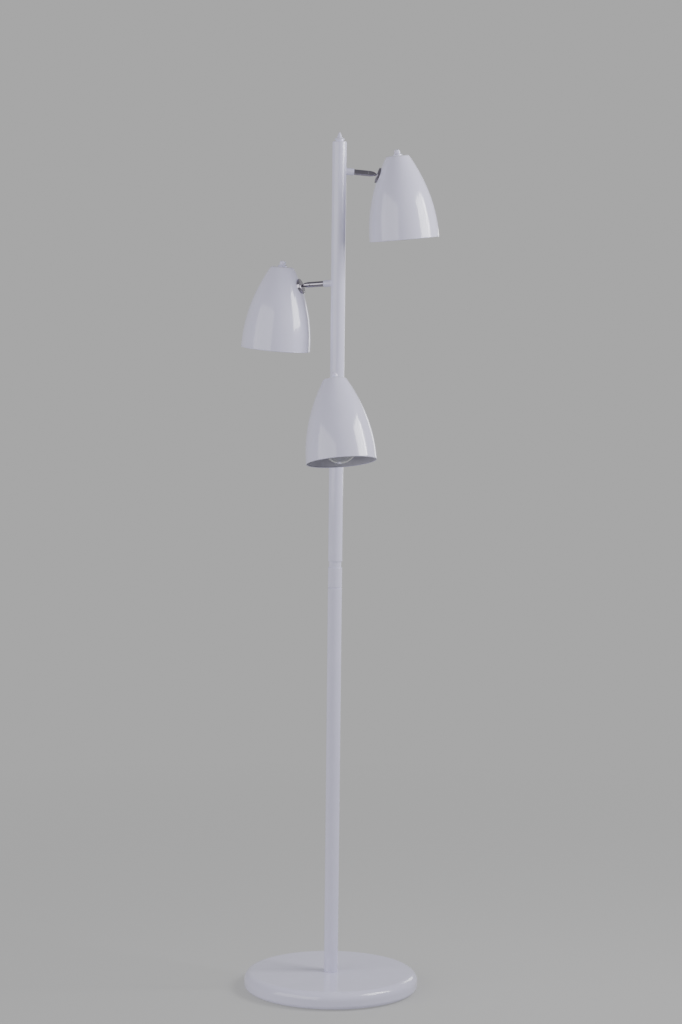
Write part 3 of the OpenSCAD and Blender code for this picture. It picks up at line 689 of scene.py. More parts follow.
def stem_glass(finish, colours):
    """Pressed glass of the stem, with drawn streaks and small bubbles."""
    finish.colour(colours.stem, 0.08, 0.003)
    finish.roughness(0.05, 0.2, 0.002)
    finish.bump((finish.noise(0.0015, 4, (1, 1, 5)), 6e-5))
    finish.set(Transmission_Weight=0.8, IOR=1.52)


def tungsten(finish, colours):
    """Drawn wire, dark and slightly burnt."""
    finish.colour(colours.tungsten, 0.3, 0.0015)
    finish.roughness(0.3, 0.55, 0.001)
    finish.bump((finish.noise(0.0003, 3), 4e-6))
    finish.set(Metallic=1.0)


def sheath(finish, colours):
    """Braided glass-fibre sleeve: two crossing sets of strands."""
    finish.colour(colours.sheath, 0.3, 0.0012, (0.9, 0.88, 0.8))
    finish.roughness(0.6, 0.85, 0.001)
    strands = []
    for direction in ("DIAGONAL", "Z"):
        wave = finish.add("ShaderNodeTexWave", bands_direction=direction)
        wave.inputs["Scale"].default_value = 420
        wave.inputs["Distortion"].default_value = 0.6
        finish.join(finish.where, wave.inputs["Vector"])
        strands.append((wave.outputs["Fac"], 1.2e-4))
    finish.bump(*strands)


FINISHES = {
    "white_enamel": enamel,
    "inner_enamel": inner_enamel,
    "chrome_plate": chrome,
    "zinc_steel": zinc,
    "contact_brass": brass,
    "cap_metal": cap_metal,
    "cast_weight": casting,
    "floor_foam": foam,
    "black_moulding": rubber,
    "white_moulding": white_plastic,
    "holder_moulding": moulding,
    "bulb_glass": clear_glass,
    "stem_and_filament": stem_glass,
    "filament_wire": tungsten,
    "wire_insulation": sheath,
}
made_finishes = {}


def material(name):
    """The material of a finish, made when it is first asked for."""
    if name not in made_finishes:
        finish = Finish(f"lamp_{name}")
        FINISHES[name](finish, bpy.context.scene.lamp_colours)
        made_finishes[name] = finish.material
    return made_finishes[name]


# ---- Base ----


class LAMP_OT_base_cover(bpy.types.Operator):
    """Press the round cover of the base, with its rounded edge rolled under"""

    bl_idname = "lamp.base_cover"
    bl_label = "Base cover"

    def execute(self, context):
        low, high = span("base_cover")
        wall = context.scene.lamp_base.wall
        stud = span("base_stud")[1].x
        edge = (high.z - low.z) / 2
        lip = high.x - edge
        outline = rounded([
            (stud, high.z, 0),
            (high.x, high.z, edge),
            (high.x, low.z, edge),
            (lip, low.z, 0),
            (lip, low.z + wall, 0),
            (high.x - wall, low.z + wall, edge - wall),
            (high.x - wall, high.z - wall, edge - wall),
            (stud, high.z - wall, 0),
        ], steps=18)
        cover = piece(
            "base_cover_pressing", lathe(outline, 192), Matrix(), "stand", "white_enamel", "base_cover")
        barrel = grommet_radii(context)[0]
        cutter = lathe([(0, -edge), (barrel, -edge), (barrel, edge), (0, edge)], 48, closed=False)
        cut(cover, cutter, grommet_place())
        even_shading(cover)
        return {"FINISHED"}


def grommet_place():
    """In the middle of the grommet's mouth, with Z out of the base's rear edge."""
    low, high = span("cord_grommet")
    mouth = Vector(((low.x + high.x) / 2, span("base_cover")[1].y, (low.z + high.z) / 2))
    return place_of(mouth, Vector((1, 0, 0)), Vector((0, 0, -1)), Vector((0, 1, 0)))


def grommet_radii(context):
    """Radius of the grommet's barrel and of its bore."""
    sizes = context.scene.lamp_base
    lip = span("cord_grommet", grommet_place())[1].x
    barrel = lip - sizes.grommet_lip
    return barrel, barrel - sizes.grommet_wall


class LAMP_OT_grommet(bpy.types.Operator):
    """Mould the grommet in the rear edge of the base, a soft lip on each side of the wall"""

    bl_idname = "lamp.grommet"
    bl_label = "Cord grommet"

    def execute(self, context):
        place = grommet_place()
        low, high = span("cord_grommet", place)
        barrel, bore = grommet_radii(context)
        slot = low.z + context.scene.lamp_base.inner_lip
        slot_end = slot + context.scene.lamp_base.grommet_slot
        outline = rounded([
            (bore, low.z, 0.4 * MM),
            (high.x, low.z, 0.6 * MM),
            (high.x, slot, 0.6 * MM),
            (barrel, slot, 0.3 * MM),
            (barrel, slot_end, 0.3 * MM),
            (high.x, slot_end, 0.4 * MM),
            (high.x, 0.3 * high.z, 0.9 * MM),
            (barrel, high.z, 0.9 * MM),
            (bore, high.z, 1.0 * MM),
        ])
        piece("cord_grommet_moulding", lathe(outline, 64), place, "stand", "black_moulding", "cord_grommet")
        return {"FINISHED"}


# ---- Pole ----


class LAMP_OT_pole_tubes(bpy.types.Operator):
    """Draw the two pole tubes, with dressed ends"""

    bl_idname = "lamp.pole_tubes"
    bl_label = "Pole tubes"

    def execute(self, context):
        sizes = context.scene.lamp_pole
        foot = context.scene.lamp_base.foot_gap
        for node, low_edge in (("lower_pole", foot), ("upper_pole", sizes.edge)):
            low, high = span(node)
            inner = high.x - sizes.wall
            corners = [
                (inner, low.z, 0),
                (high.x, low.z, low_edge),
                (high.x, high.z, sizes.edge),
                (inner, high.z, 0),
            ]
            even_shading(piece(
                f"{node}_tube", lathe(rounded(corners), 128), Matrix(), "stand", "white_enamel", node))
        return {"FINISHED"}


class LAMP_OT_coupling(bpy.types.Operator):
    """Turn the pole's coupling: the band with its plug, and the grooved neck with its screw"""

    bl_idname = "lamp.coupling"
    bl_label = "Pole coupling"

    def execute(self, context):
        sizes = context.scene.lamp_pole
        pole = span("lower_pole")[1]
        inner = pole.x - sizes.wall
        low, band = span("coupling_socket")
        way = sizes.wire_way / 2
        screw = sizes.screw_width / 2
        screw_foot = band.z - sizes.screw_length
        seam = sizes.seam
        socket = rounded([
            (way, low.z, 0),
            (inner, low.z, seam),
            (inner, pole.z, 0),
            (pole.x - seam, pole.z, 0),
            (pole.x - seam, pole.z + 1.5 * seam, 0.2 * seam),
            (pole.x, pole.z + 2.5 * seam, 0.4 * seam),
            (pole.x, band.z, 0.9 * seam),
            (screw, band.z, 0.3 * seam),
            (screw, screw_foot, 0),
            (way, screw_foot, 0),
        ])
        even_shading(piece(
            "coupling_socket_turning", lathe(socket, 128), Matrix(),
            "stand", "white_enamel", "coupling_socket"))
        top = span("coupling_screw")[1].z
        neck_top = span("upper_pole")[0].z
        neck = pole.x - sizes.groove_depth
        screw_outline = rounded([
            (way, screw_foot, 0),
            (screw, screw_foot, seam),
            (screw, band.z, 0),
            (neck, band.z, 0.3 * seam),
            (neck, neck_top, 0.3 * seam),
            (inner, neck_top, 0),
            (inner, top, seam),
            (way, top, 0),
        ])
        even_shading(piece(
            "coupling_screw_turning", lathe(screw_outline, 128), Matrix(), "stand", "white_enamel",
            "coupling_screw"))
        return {"FINISHED"}


class LAMP_OT_finial(bpy.types.Operator):
    """Turn the pointed finial on the pole's top"""

    bl_idname = "lamp.finial"
    bl_label = "Pole finial"

    def execute(self, context):
        sizes = context.scene.lamp_pole
        pole = span("upper_pole")[1]
        low, tip = span("pole_finial")
        inner = pole.x - sizes.wall
        seam = sizes.seam
        flange = pole.z + sizes.finial_flange_low
        flange_top = flange + sizes.finial_flange
        flange_radius = pole.x - sizes.finial_flange_inset
        outline = rounded([
            (0, low.z, 0),
            (inner, low.z, seam),
            (inner, pole.z, 0),
            (pole.x - seam / 2, pole.z, 0.2 * MM),
            (pole.x - 2 * seam, pole.z + sizes.finial_shoulder, 0.5 * MM),
            (sizes.finial_neck, pole.z + sizes.finial_neck_foot, 0.4 * MM),
            (sizes.finial_neck, flange - sizes.finial_undercut, 0.2 * MM),
            (flange_radius, flange, 0.5 * MM),
            (flange_radius, flange_top, 0.9 * MM),
            (sizes.finial_cone, flange_top + 2 * seam, 0.8 * MM),
            (sizes.finial_tip, tip.z - 0.6 * sizes.finial_tip, 0.8 * MM),
            (0, tip.z, 0),
        ], closed=False)
        piece("pole_finial_turning", lathe(outline, 96, closed=False), Matrix(), "stand", "white_enamel",
              "pole_finial")
        return {"FINISHED"}


# ---- Arms and swivels ----


class LAMP_OT_arm_bosses(bpy.types.Operator):
    """Weld the three bosses to the pole, with a painted bead where they meet it"""

    bl_idname = "lamp.arm_bosses"
    bl_label = "Arm bosses"

    def execute(self, context):
        sizes = context.scene.lamp_swivel
        pole = span("upper_pole")[1].x
        for head in HEADS:
            place = arm_place(head)
            high = span(f"{head}_arm_boss", place)[1]
            bore = span(f"{head}_arm_tube", place)[1].x - sizes.tube_step
            outline = rounded([
                (bore, pole, 0),
                (high.x + sizes.weld, pole, 0),
                (high.x, pole + sizes.weld, 1.6 * sizes.weld),
                (high.x, high.z, sizes.boss_round),
                (bore, high.z, 0),
            ])
            mesh = lathe(outline, 72)
            for vertex in mesh.verts:
                self.fit_to_pole(vertex, place, pole, sizes.weld)
            made = piece(f"{head}_arm_boss_turning", mesh, place, "stand", "white_enamel", f"{head}_arm_boss")
            even_shading(made)
        return {"FINISHED"}

    @staticmethod
    def fit_to_pole(vertex, place, pole, weld):
        """Slides the points near the pole along the arm until they follow its round surface."""
        near = 1 - min(1, max(0, (vertex.co.z - pole) / (3 * weld)))
        here = place @ vertex.co
        out = place.to_3x3() @ UP
        # Where the line through the point along the arm meets the pole, seen from above:
        # |here + t * out| = pole
        a = out.xy.dot(out.xy)
        b = here.xy.dot(out.xy)
        c = here.xy.dot(here.xy) - pole * pole
        inside = b * b - a * c
        if inside > 0:
            slide = (-b + math.sqrt(inside)) / a
            vertex.co.z += near * (vertex.co.z + slide - pole)


class LAMP_OT_arm_tubes(bpy.types.Operator):
    """Turn the three chrome arm tubes, with the spigots that the collars turn on"""

    bl_idname = "lamp.arm_tubes"
    bl_label = "Arm tubes"

    def execute(self, context):
        sizes = context.scene.lamp_swivel
        for head in HEADS:
            place = arm_place(head)
            low, high = span(f"{head}_arm_tube", place)
            boss = span(f"{head}_arm_boss", place)[1].z
            collar = span(f"{head}_swivel_collar", place)[0].z - sizes.collar_gap
            spigot = span(f"{head}_ball_stud", stud_place(head))[1].x + sizes.spigot_over
            bore = sizes.tube_bore / 2
            inside = high.x - sizes.tube_step
            outline = rounded([
                (bore, low.z, 0),
                (inside, low.z, 0.2 * MM),
                (inside, boss, 0),
                (high.x, boss, sizes.edge),
                (high.x, collar, sizes.edge),
                (spigot, collar, 0),
                (spigot, high.z, 0.3 * MM),
                (bore, high.z, 0.2 * MM),
            ])
            even_shading(piece(
                f"{head}_arm_tube_turning", lathe(outline, 80), place, "stand", "chrome_plate",
                f"{head}_arm_tube"))
        return {"FINISHED"}


class LAMP_OT_swivel_collars(bpy.types.Operator):
    """Turn the three collars and cut the slot that lets each ball stud tilt"""

    bl_idname = "lamp.swivel_collars"
    bl_label = "Swivel collars"

    def execute(self, context):
        sizes = context.scene.lamp_swivel
        for head in HEADS:
            place = collar_place(head)
            low, high = span(f"{head}_swivel_collar", place)
            ball = span(f"{head}_ball_stud", stud_place(head))[1].x
            bore = ball + sizes.bore_room
            seat = ball + sizes.seat_play
            mouth = math.acos(min(1, (high.z - sizes.seat_lip) / seat))
            outline = rounded([
                (bore, low.z, 0),
                (high.x, low.z, 0.3 * MM),
                (high.x, low.z + sizes.collar_straight, sizes.collar_bend),
                (sizes.nose + sizes.nose_taper, high.z - sizes.nose_length, sizes.collar_bend),
                (sizes.nose, high.z, 0.35 * MM),
                (seat * math.sin(mouth), high.z, 0),
            ], closed=False)
            outline += arc((0, 0), seat, math.pi / 2 - mouth, -sizes.seat_turn, 12)
            outline.append(Vector((bore, -sizes.seat_back)))
            collar = piece(
                f"{head}_swivel_collar_turning", lathe(outline, 72), place, f"{head}_swivel", "chrome_plate",
                f"{head}_swivel_collar")
            cut(collar, self.slot(context, head, high), place)
            even_shading(collar)
        return {"FINISHED"}

    @staticmethod
    def slot(context, head, high):
        """A round-floored slot across the collar, as wide as the stud's neck and its play."""
        sizes = context.scene.lamp_swivel
        neck = min(p.xy.length for p in points(f"{head}_swivel_flange", stud_place(head)))
        half = neck + sizes.slot_play
        mesh = bmesh.new()
        bmesh.ops.create_cube(mesh, size=1)
        bmesh.ops.scale(mesh, vec=(4 * high.x, 2 * half, 4 * high.z), verts=mesh.verts)
        bmesh.ops.translate(mesh, vec=(0, 0, 2 * high.z - sizes.slot_start), verts=mesh.verts)
        floor = [e for e in mesh.edges if all(v.co.z < 0 for v in e.verts) and
                 abs(e.verts[0].co.x - e.verts[1].co.x) > high.x]
        bmesh.ops.bevel(mesh, geom=floor, offset=sizes.slot_round, segments=4, affect="EDGES")
        return mesh


def thread(radius, depth, pitch, start, end):
    """A lathe shape that cuts a screw thread between two heights."""
    def shape(r, height, angle):
        if abs(r - radius) > SAME or not start < height < end:
            return r
        return r - depth * (0.5 + 0.5 * math.cos(TURN * height / pitch - angle))
    return shape


class LAMP_OT_ball_studs(bpy.types.Operator):
    """Turn the three hollow ball studs and thread their ends"""

    bl_idname = "lamp.ball_studs"
    bl_label = "Ball studs"

    def execute(self, context):
        sizes = context.scene.lamp_swivel
        for head in HEADS:
            place = stud_place(head)
            high = span(f"{head}_ball_stud", place)[1]
            flange_back = span(f"{head}_swivel_flange", place)[1].z
            seen = points(f"{head}_ball_stud", place)
            neck = min(p.xy.length for p in seen if p.z > high.z - 0.5 * MM and p.xy.length > 1.8 * MM)
            bore = min(p.xy.length for p in seen)
            ball = high.x
            start = math.asin(bore / ball)
            leave = math.asin(neck / ball)
            outline = arc((0, 0), ball, start - math.pi / 2, math.pi / 2 - leave, 26)
            root = outline[-1].y
            outline += line((neck, root), (neck, flange_back), 4)
            chamfer = sizes.stud_chamfer
            outline += line((neck, flange_back), (neck, high.z - chamfer), 72)
            outline += [Vector((neck - chamfer, high.z)), Vector((bore, high.z))]
            shape = thread(
                neck, sizes.thread_depth, sizes.thread_pitch, flange_back, high.z - sizes.thread_depth)
            made = piece(
                f"{head}_ball_stud_turning", lathe(outline, 56, shape=shape), place, f"{head}_head",
                "chrome_plate", f"{head}_ball_stud", crease=50)
            even_shading(made)
        return {"FINISHED"}


class LAMP_OT_swivel_flanges(bpy.types.Operator):
    """Turn the three chrome flanges, each with its back shaped to the shade's flank"""

    bl_idname = "lamp.swivel_flanges"
    bl_label = "Swivel flanges"

    def execute(self, context):
        sizes = context.scene.lamp_swivel
        for head in HEADS:
            place = stud_place(head)
            seen = points(f"{head}_swivel_flange", place)
            radius = max(p.xy.length for p in seen)
            neck = min(p.xy.length for p in seen)
            front = min(p.z for p in seen)
            back = min(p.z for p in seen if p.xy.length < neck + 0.1 * MM and p.z > front + 1 * MM)
            rise = max(p.z for p in seen) - back
            saddle = (radius ** 2 + rise ** 2) / (2 * rise)
            step = radius - sizes.flange_step
            sink = sizes.flange_sink
            outline = rounded([
                (neck, back, 0),
                (neck, front, 0.2 * MM),
                (step, front, 0.3 * MM),
                (step + sink, front + sink, 0.3 * MM),
                (radius, front + sink, sizes.flange_round),
                (radius, back, 0),
            ], closed=False)
            outline += line((radius, back), (neck, back), 10)[:-1]
            mesh = lathe(outline, 96)
            for vertex in mesh.verts:
                if vertex.co.z > back - SAME:
                    vertex.co.z = back + saddle - math.sqrt(saddle ** 2 - vertex.co.y ** 2)
            even_shading(piece(
                f"{head}_swivel_flange_turning", mesh, place, f"{head}_head", "chrome_plate",
                f"{head}_swivel_flange"))
        return {"FINISHED"}


class LAMP_OT_stud_nuts(bpy.types.Operator):
    """Cut the three hexagon nuts inside the shades, with chamfered corners"""

    bl_idname = "lamp.stud_nuts"
    bl_label = "Stud nuts"

    def execute(self, context):
        chamfer_height = context.scene.lamp_swivel.nut_chamfer
        chamfer_slope = 1.7
        for head in HEADS:
            place = stud_place(head)
            seen = points(f"{head}_stud_nut", place)
            low = min(p.z for p in seen)
            high = max(p.z for p in seen)
            corner = max(p.xy.length for p in seen)
            bore = min(p.xy.length for p in seen)
            first = next(p for p in seen if p.xy.length > corner - SAME)
            turned = math.atan2(first.y, first.x)
            flat = corner * math.cos(TURN / 12)
            middle = (low + high) / 2
            straight = (high - low) / 2 - chamfer_height

            def hexagon(r, height, angle):
                side = math.remainder(angle - turned - TURN / 12, TURN / 6)
                chamfer = corner - chamfer_slope * max(0, abs(height - middle) - straight)
                return r if r < flat - 0.2 * MM else min(flat / math.cos(side), chamfer)

            heights = [low, low + 0.12 * MM, low + 0.25 * MM, low + 0.36 * MM]
            heights += [high + low - h for h in reversed(heights)]
            outline = [Vector((bore, low))] + [Vector((corner, h)) for h in heights] + [Vector((bore, high))]
            piece(f"{head}_stud_nut_hexagon", lathe(outline, 96, shape=hexagon), place, f"{head}_head",
                  "zinc_steel", f"{head}_stud_nut", crease=24)
        return {"FINISHED"}


# ---- Shades ----


def flank_radius(sizes, rim, height, depth):
    """Outside radius of a shade at a depth below its top."""
    return rim * (1 - sizes.narrowing * max(0, 1 - depth / height) ** sizes.power)


def flank_angle(sizes, rim, height, depth):
    """Slope of a shade's flank from its axis at a depth below its top."""
    steepness = sizes.narrowing * sizes.power * max(0, 1 - depth / height) ** (sizes.power - 1)
    return math.atan(rim * steepness / height)


class LAMP_OT_shades(bpy.types.Operator):
    """Spin the three bell shades: outside, rolled rim and dry-sprayed inside in one skin"""

    bl_idname = "lamp.shades"
    bl_label = "Shades"

    def execute(self, context):
        sizes = context.scene.lamp_shade
        for head in HEADS:
            place = shade_place(head)
            low, high = span(f"{head}_shade", place)
            rim = high.x - sizes.rim / 2
            mesh = lathe(self.outline(sizes, rim, -low.z), 176)
            for face in mesh.faces:
                if self.is_inside(face, sizes, rim, -low.z):
                    face.material_index = 1
            even_shading(piece(
                f"{head}_shade_spinning", mesh, place, f"{head}_head", "white_enamel", f"{head}_shade",
                finishes=["white_enamel", "inner_enamel"]))
        return {"FINISHED"}

    @staticmethod
    def outline(sizes, rim, height):
        """The shade's section: flat top, shoulder, flank, rolled rim, and back up inside."""
        shoulder = sizes.shoulder
        wall = sizes.wall
        bush = sizes.bush_hole / 2
        top_angle = flank_angle(sizes, rim, height, 0)
        top_angle = flank_angle(sizes, rim, height, shoulder * (1 - math.sin(top_angle)))
        depth = shoulder * (1 - math.sin(top_angle))
        centre = (flank_radius(sizes, rim, height, depth) - shoulder * math.cos(top_angle), -shoulder)
        bead = (rim - sizes.rim / 2, sizes.rim - height)
        last = height - 1.6 * sizes.rim
        depths = [depth + (last - depth) * k / sizes.rings for k in range(1, sizes.rings + 1)]
        outside = [Vector((bush, 0))]
        outside += arc(centre, shoulder, math.pi / 2, top_angle, 12)
        outside += [Vector((flank_radius(sizes, rim, height, d), -d)) for d in depths]
        roll = arc(bead, sizes.rim, math.radians(28), math.radians(-208), 20)
        inside = []
        for d in reversed([depth] + depths):
            angle = flank_angle(sizes, rim, height, d)
            inside.append(Vector((flank_radius(sizes, rim, height, d) - wall / math.cos(angle), -d)))
        inside = inside[:-1] + arc(centre, shoulder - wall, top_angle, math.pi / 2, 12)
        inside.append(Vector((bush, -wall)))
        return outside + roll + inside

    @staticmethod
    def is_inside(face, sizes, rim, height):
        """Whether a face is on the inner skin, above the roll."""
        middle = face.calc_center_median()
        depth = -middle.z
        if depth > height - 2 * sizes.rim:
            return False
        skin = flank_radius(sizes, rim, height, depth) - sizes.wall / 2
        return middle.xy.length < skin - 10 * SAME and depth > sizes.wall / 2


class LAMP_OT_ring_nuts(bpy.types.Operator):
    """Turn and knurl the ring nuts that clamp the lampholders to the shades"""

    bl_idname = "lamp.ring_nuts"
    bl_label = "Ring nuts"

    def execute(self, context):
        sizes = context.scene.lamp_switch
        for head in HEADS:
            place = shade_place(head)
            high = span(f"{head}_ring_nut", place)[1]
            bush = context.scene.lamp_shade.bush_hole / 2
            radius = high.x

            def knurl(r, height, angle):
                if r < radius - 0.05 * MM:
                    return r
                return r - sizes.nut_knurl * (0.5 + 0.5 * math.cos(sizes.nut_teeth * angle))

            outline = rounded([
                (bush, 0, 0),
                (radius, 0, 0.25 * MM),
                (radius, high.z - sizes.nut_bevel, 0.2 * MM),
                (radius - sizes.nut_bevel, high.z, 0.3 * MM),
                (bush, high.z, 0.2 * MM),
            ])
            even_shading(piece(
                f"{head}_ring_nut_turning", lathe(outline, sizes.nut_teeth * 6, shape=knurl), place,
                f"{head}_head", "white_enamel", f"{head}_ring_nut"))
        return {"FINISHED"}


class LAMP_OT_switch_knobs(bpy.types.Operator):
    """Mould the fluted switch knobs with their spindles and rotors"""

    bl_idname = "lamp.switch_knobs"
    bl_label = "Switch knobs"

    def execute(self, context):
        sizes = context.scene.lamp_switch
        for head in HEADS:
            place = shade_place(head)
            seen = points(f"{head}_switch_knob", place)
            low = min(p.z for p in seen)
            top = max(p.z for p in seen)
            radius = max(p.xy.length for p in seen if p.z > 0)
            rotor = max(p.xy.length for p in seen if p.z < 0)
            foot = min(p.z for p in seen if p.z > 0 and p.xy.length > 0.6 * radius)
            spindle = sizes.spindle / 2
            flute_top = top - sizes.dome

            def flutes(r, height, angle):
                if height < foot or r < radius - sizes.flute_start:
                    return r
                fade = min(1, max(0, (top - 0.4 * sizes.dome - height) / (0.8 * sizes.dome)))
                fade = min(fade, (height - foot) / sizes.flute_start)
                wave = abs(math.sin(sizes.flutes * angle / 2)) ** 0.7
                return r - fade * sizes.flute * (1 - wave)

            outline = rounded([
                (0, low, 0),
                (rotor, low, 0.3 * MM),
                (rotor, low + sizes.rotor, 0.3 * MM),
                (spindle, low + sizes.rotor, 0.2 * MM),
                (spindle, foot, 0),
            ], closed=False)
            edge = sizes.knob_round
            outline += arc((radius - edge, foot + edge), edge, -math.pi / 2, 0, 5)
            outline += line((radius, foot + edge), (radius, flute_top), 14)
            outline += arc((radius - sizes.dome, flute_top), sizes.dome, 0, math.pi / 2, 14)[1:]
            outline += [Vector((0.6 * (radius - sizes.dome), top)), Vector((0, top))]
            mesh = lathe(outline, sizes.flutes * 10, closed=False, shape=flutes)
            piece(f"{head}_switch_knob_moulding", mesh, place, f"{head}_knob", "white_moulding",
                  f"{head}_switch_knob", crease=50)
        return {"FINISHED"}


# ---- Lampholders and bulbs ----


class LAMP_OT_lampholders(bpy.types.Operator):
    """Mould the ribbed lampholders with their threaded bushes"""

    bl_idname = "lamp.lampholders"
    bl_label = "Lampholders"

    def execute(self, context):
        sizes = context.scene.lamp_holder
        for head in HEADS:
            place = shade_place(head)
            low, high = span(f"{head}_lampholder", place)
            shell = span(f"{head}_holder_contacts", place)[1]
            wall = context.scene.lamp_shade.wall
            bush = context.scene.lamp_shade.bush_hole / 2
            spindle = context.scene.lamp_switch.spindle / 2 + sizes.spindle_play
            shoulder = -sizes.shoulder
            radius = high.x
            collar = shoulder - 2.4 * sizes.skirt_round
            skirt_top = collar - sizes.rib_start
            skirt_end = low.z + sizes.rib_end
            hole = high.z - sizes.spindle_hole
            inside = shell.z - sizes.contact_cover

            def ribs(r, height, angle):
                if abs(r - radius) > SAME or not skirt_end <= height <= skirt_top:
                    return r
                fade = min(1, (skirt_top - height) / MM, (height - skirt_end) / MM)
                return r - fade * sizes.rib * (0.5 + 0.5 * math.cos(sizes.ribs * angle))

            outer = rounded([
                (bush, high.z, 0.4 * MM),
                (bush, -wall, 0),
                (sizes.neck, -wall, 0.5 * MM),
                (sizes.neck, shoulder, 1.5 * MM),
                (radius, shoulder - sizes.shoulder_fall, sizes.skirt_round),
                *self.groove(sizes, radius, collar),
                (radius, skirt_top, 0),
            ], closed=False)
            outer += line((radius, skirt_top), (radius, skirt_end), 24)
            outer += rounded([
                *self.groove(sizes, radius, skirt_end - sizes.rib_gap),
                (radius, low.z, 0.8 * MM),
                (shell.x, low.z, 0.6 * MM),
                (shell.x, inside, 0.5 * MM),
                (0, inside, 0),
            ], closed=False)
            outline = [Vector((0, hole)), Vector((spindle, hole)), Vector((spindle, high.z))] + outer
            even_shading(piece(
                f"{head}_lampholder_moulding", lathe(outline, sizes.ribs * 6, closed=False, shape=ribs),
                place, f"{head}_head", "holder_moulding", f"{head}_lampholder"))
        return {"FINISHED"}

    @staticmethod
    def groove(sizes, radius, top):
        """Corners of a groove round the skirt, from its upper edge down."""
        floor = radius - sizes.groove
        bottom = top - sizes.groove_width
        return [
            (radius, top, 0.3 * MM),
            (floor, top - sizes.groove_side, 0.2 * MM),
            (floor, bottom + sizes.groove_side, 0.2 * MM),
            (radius, bottom, 0.3 * MM),
        ]


class LAMP_OT_bulb_glasses(bpy.types.Operator):
    """Blow the clear globes of the bulbs, with a real wall"""

    bl_idname = "lamp.bulb_glasses"
    bl_label = "Bulb glasses"

    def execute(self, context):
        sizes = context.scene.lamp_bulb
        for head in HEADS:
            place = shade_place(head)
            low, high = span(f"{head}_bulb_glass", place)
            cap = span(f"{head}_bulb_cap", place)[0].z
            seen = points(f"{head}_bulb_glass", place)
            neck = max(p.xy.length for p in seen if p.z > high.z - 0.1 * MM)
            globe = high.x
            centre = low.z + globe
            outer = self.section(sizes, globe, centre, neck, cap, high.z, 0)
            inner = self.section(sizes, globe, centre, neck, cap, high.z, sizes.glass)
            outline = outer + inner[::-1]
            piece(f"{head}_bulb_globe", lathe(outline, 96, closed=False), place, f"{head}_head", "bulb_glass",
                  f"{head}_bulb_glass", crease=50)
        return {"FINISHED"}

    @staticmethod
    def section(sizes, globe, centre, neck, cap, seal, inset):
        """Half of the globe's section from its tip to its neck, moved inwards by inset."""
        turn = sizes.globe_turn
        radius = globe - inset
        points_up = arc((0, centre), radius, -math.pi / 2, turn, 40)
        points_up[0].x = 0
        leave = points_up[-1]
        end = Vector((neck - inset, cap))
        pull = 0.42 * (cap - leave.y)
        direction = Vector((-math.sin(turn), math.cos(turn))) * pull
        return points_up + ease(leave, direction, Vector((0, pull)), end, 18) + [Vector((neck - inset, seal))]


class LAMP_OT_bulb_caps(bpy.types.Operator):
    """Press the bulbs' screw caps, each with a rolled thread, an insulator and a solder dot"""

    bl_idname = "lamp.bulb_caps"
    bl_label = "Bulb caps"

    def execute(self, context):
        sizes = context.scene.lamp_bulb
        for head in HEADS:
            place = shade_place(head)
            low, high = span(f"{head}_bulb_cap", place)
            radius = high.x
            thread_top = high.z - sizes.thread_start
            thread_end = low.z + sizes.skirt
            middle = radius - sizes.thread / 2

            def rolled(r, height, angle):
                if abs(r - middle) > SAME or not thread_end < height < thread_top:
                    return r
                fade = min(1, (thread_top - height) / MM, (height - thread_end) / MM)
                return r + fade * sizes.thread / 2 * math.sin(TURN * height / sizes.pitch + angle)

            turns = max(1, round((thread_top - thread_end) / sizes.pitch)) * 12
            seat = high.z - sizes.seat_depth
            outline = rounded([
                (sizes.insulator_seat, seat, 0),
                (sizes.crown, thread_top, 0.8 * MM),
                (middle, thread_top, 0.3 * MM),
                (middle, thread_top - 0.5 * MM, 0),
            ], closed=False)[:-1]
            outline += line((middle, thread_top), (middle, thread_end), turns)
            outline += rounded([
                (radius, thread_end - 1 * MM, 0.4 * MM),
                (radius, low.z, 0.3 * MM),
                (radius - 0.3 * MM, low.z, 0),
            ], closed=False)
            outline.append(Vector((0, low.z)))
            outline.insert(0, Vector((0, seat)))
            piece(f"{head}_bulb_cap_pressing", lathe(outline, 72, closed=False, shape=rolled), place,
                  f"{head}_head", "cap_metal", f"{head}_bulb_cap", crease=40)
            foot = high.z - sizes.insulator_foot
            dot = rounded([
                (0, foot, 0),
                (sizes.insulator, foot, 0),
                (sizes.insulator, high.z - sizes.insulator_rim, 0.3 * MM),
                (sizes.solder, high.z - sizes.solder_height, 0.6 * MM),
                (sizes.solder_flat, high.z, 0.5 * MM),
                (0, high.z, 0),
            ], closed=False)
            tip = lathe(dot, 48, closed=False)
            for face in tip.faces:
                if face.calc_center_median().xy.length < sizes.solder:
                    face.material_index = 1
            piece(f"{head}_bulb_cap_contact", tip, place, f"{head}_head", "cap_metal",
                  finishes=["black_moulding", "zinc_steel"])
        return {"FINISHED"}


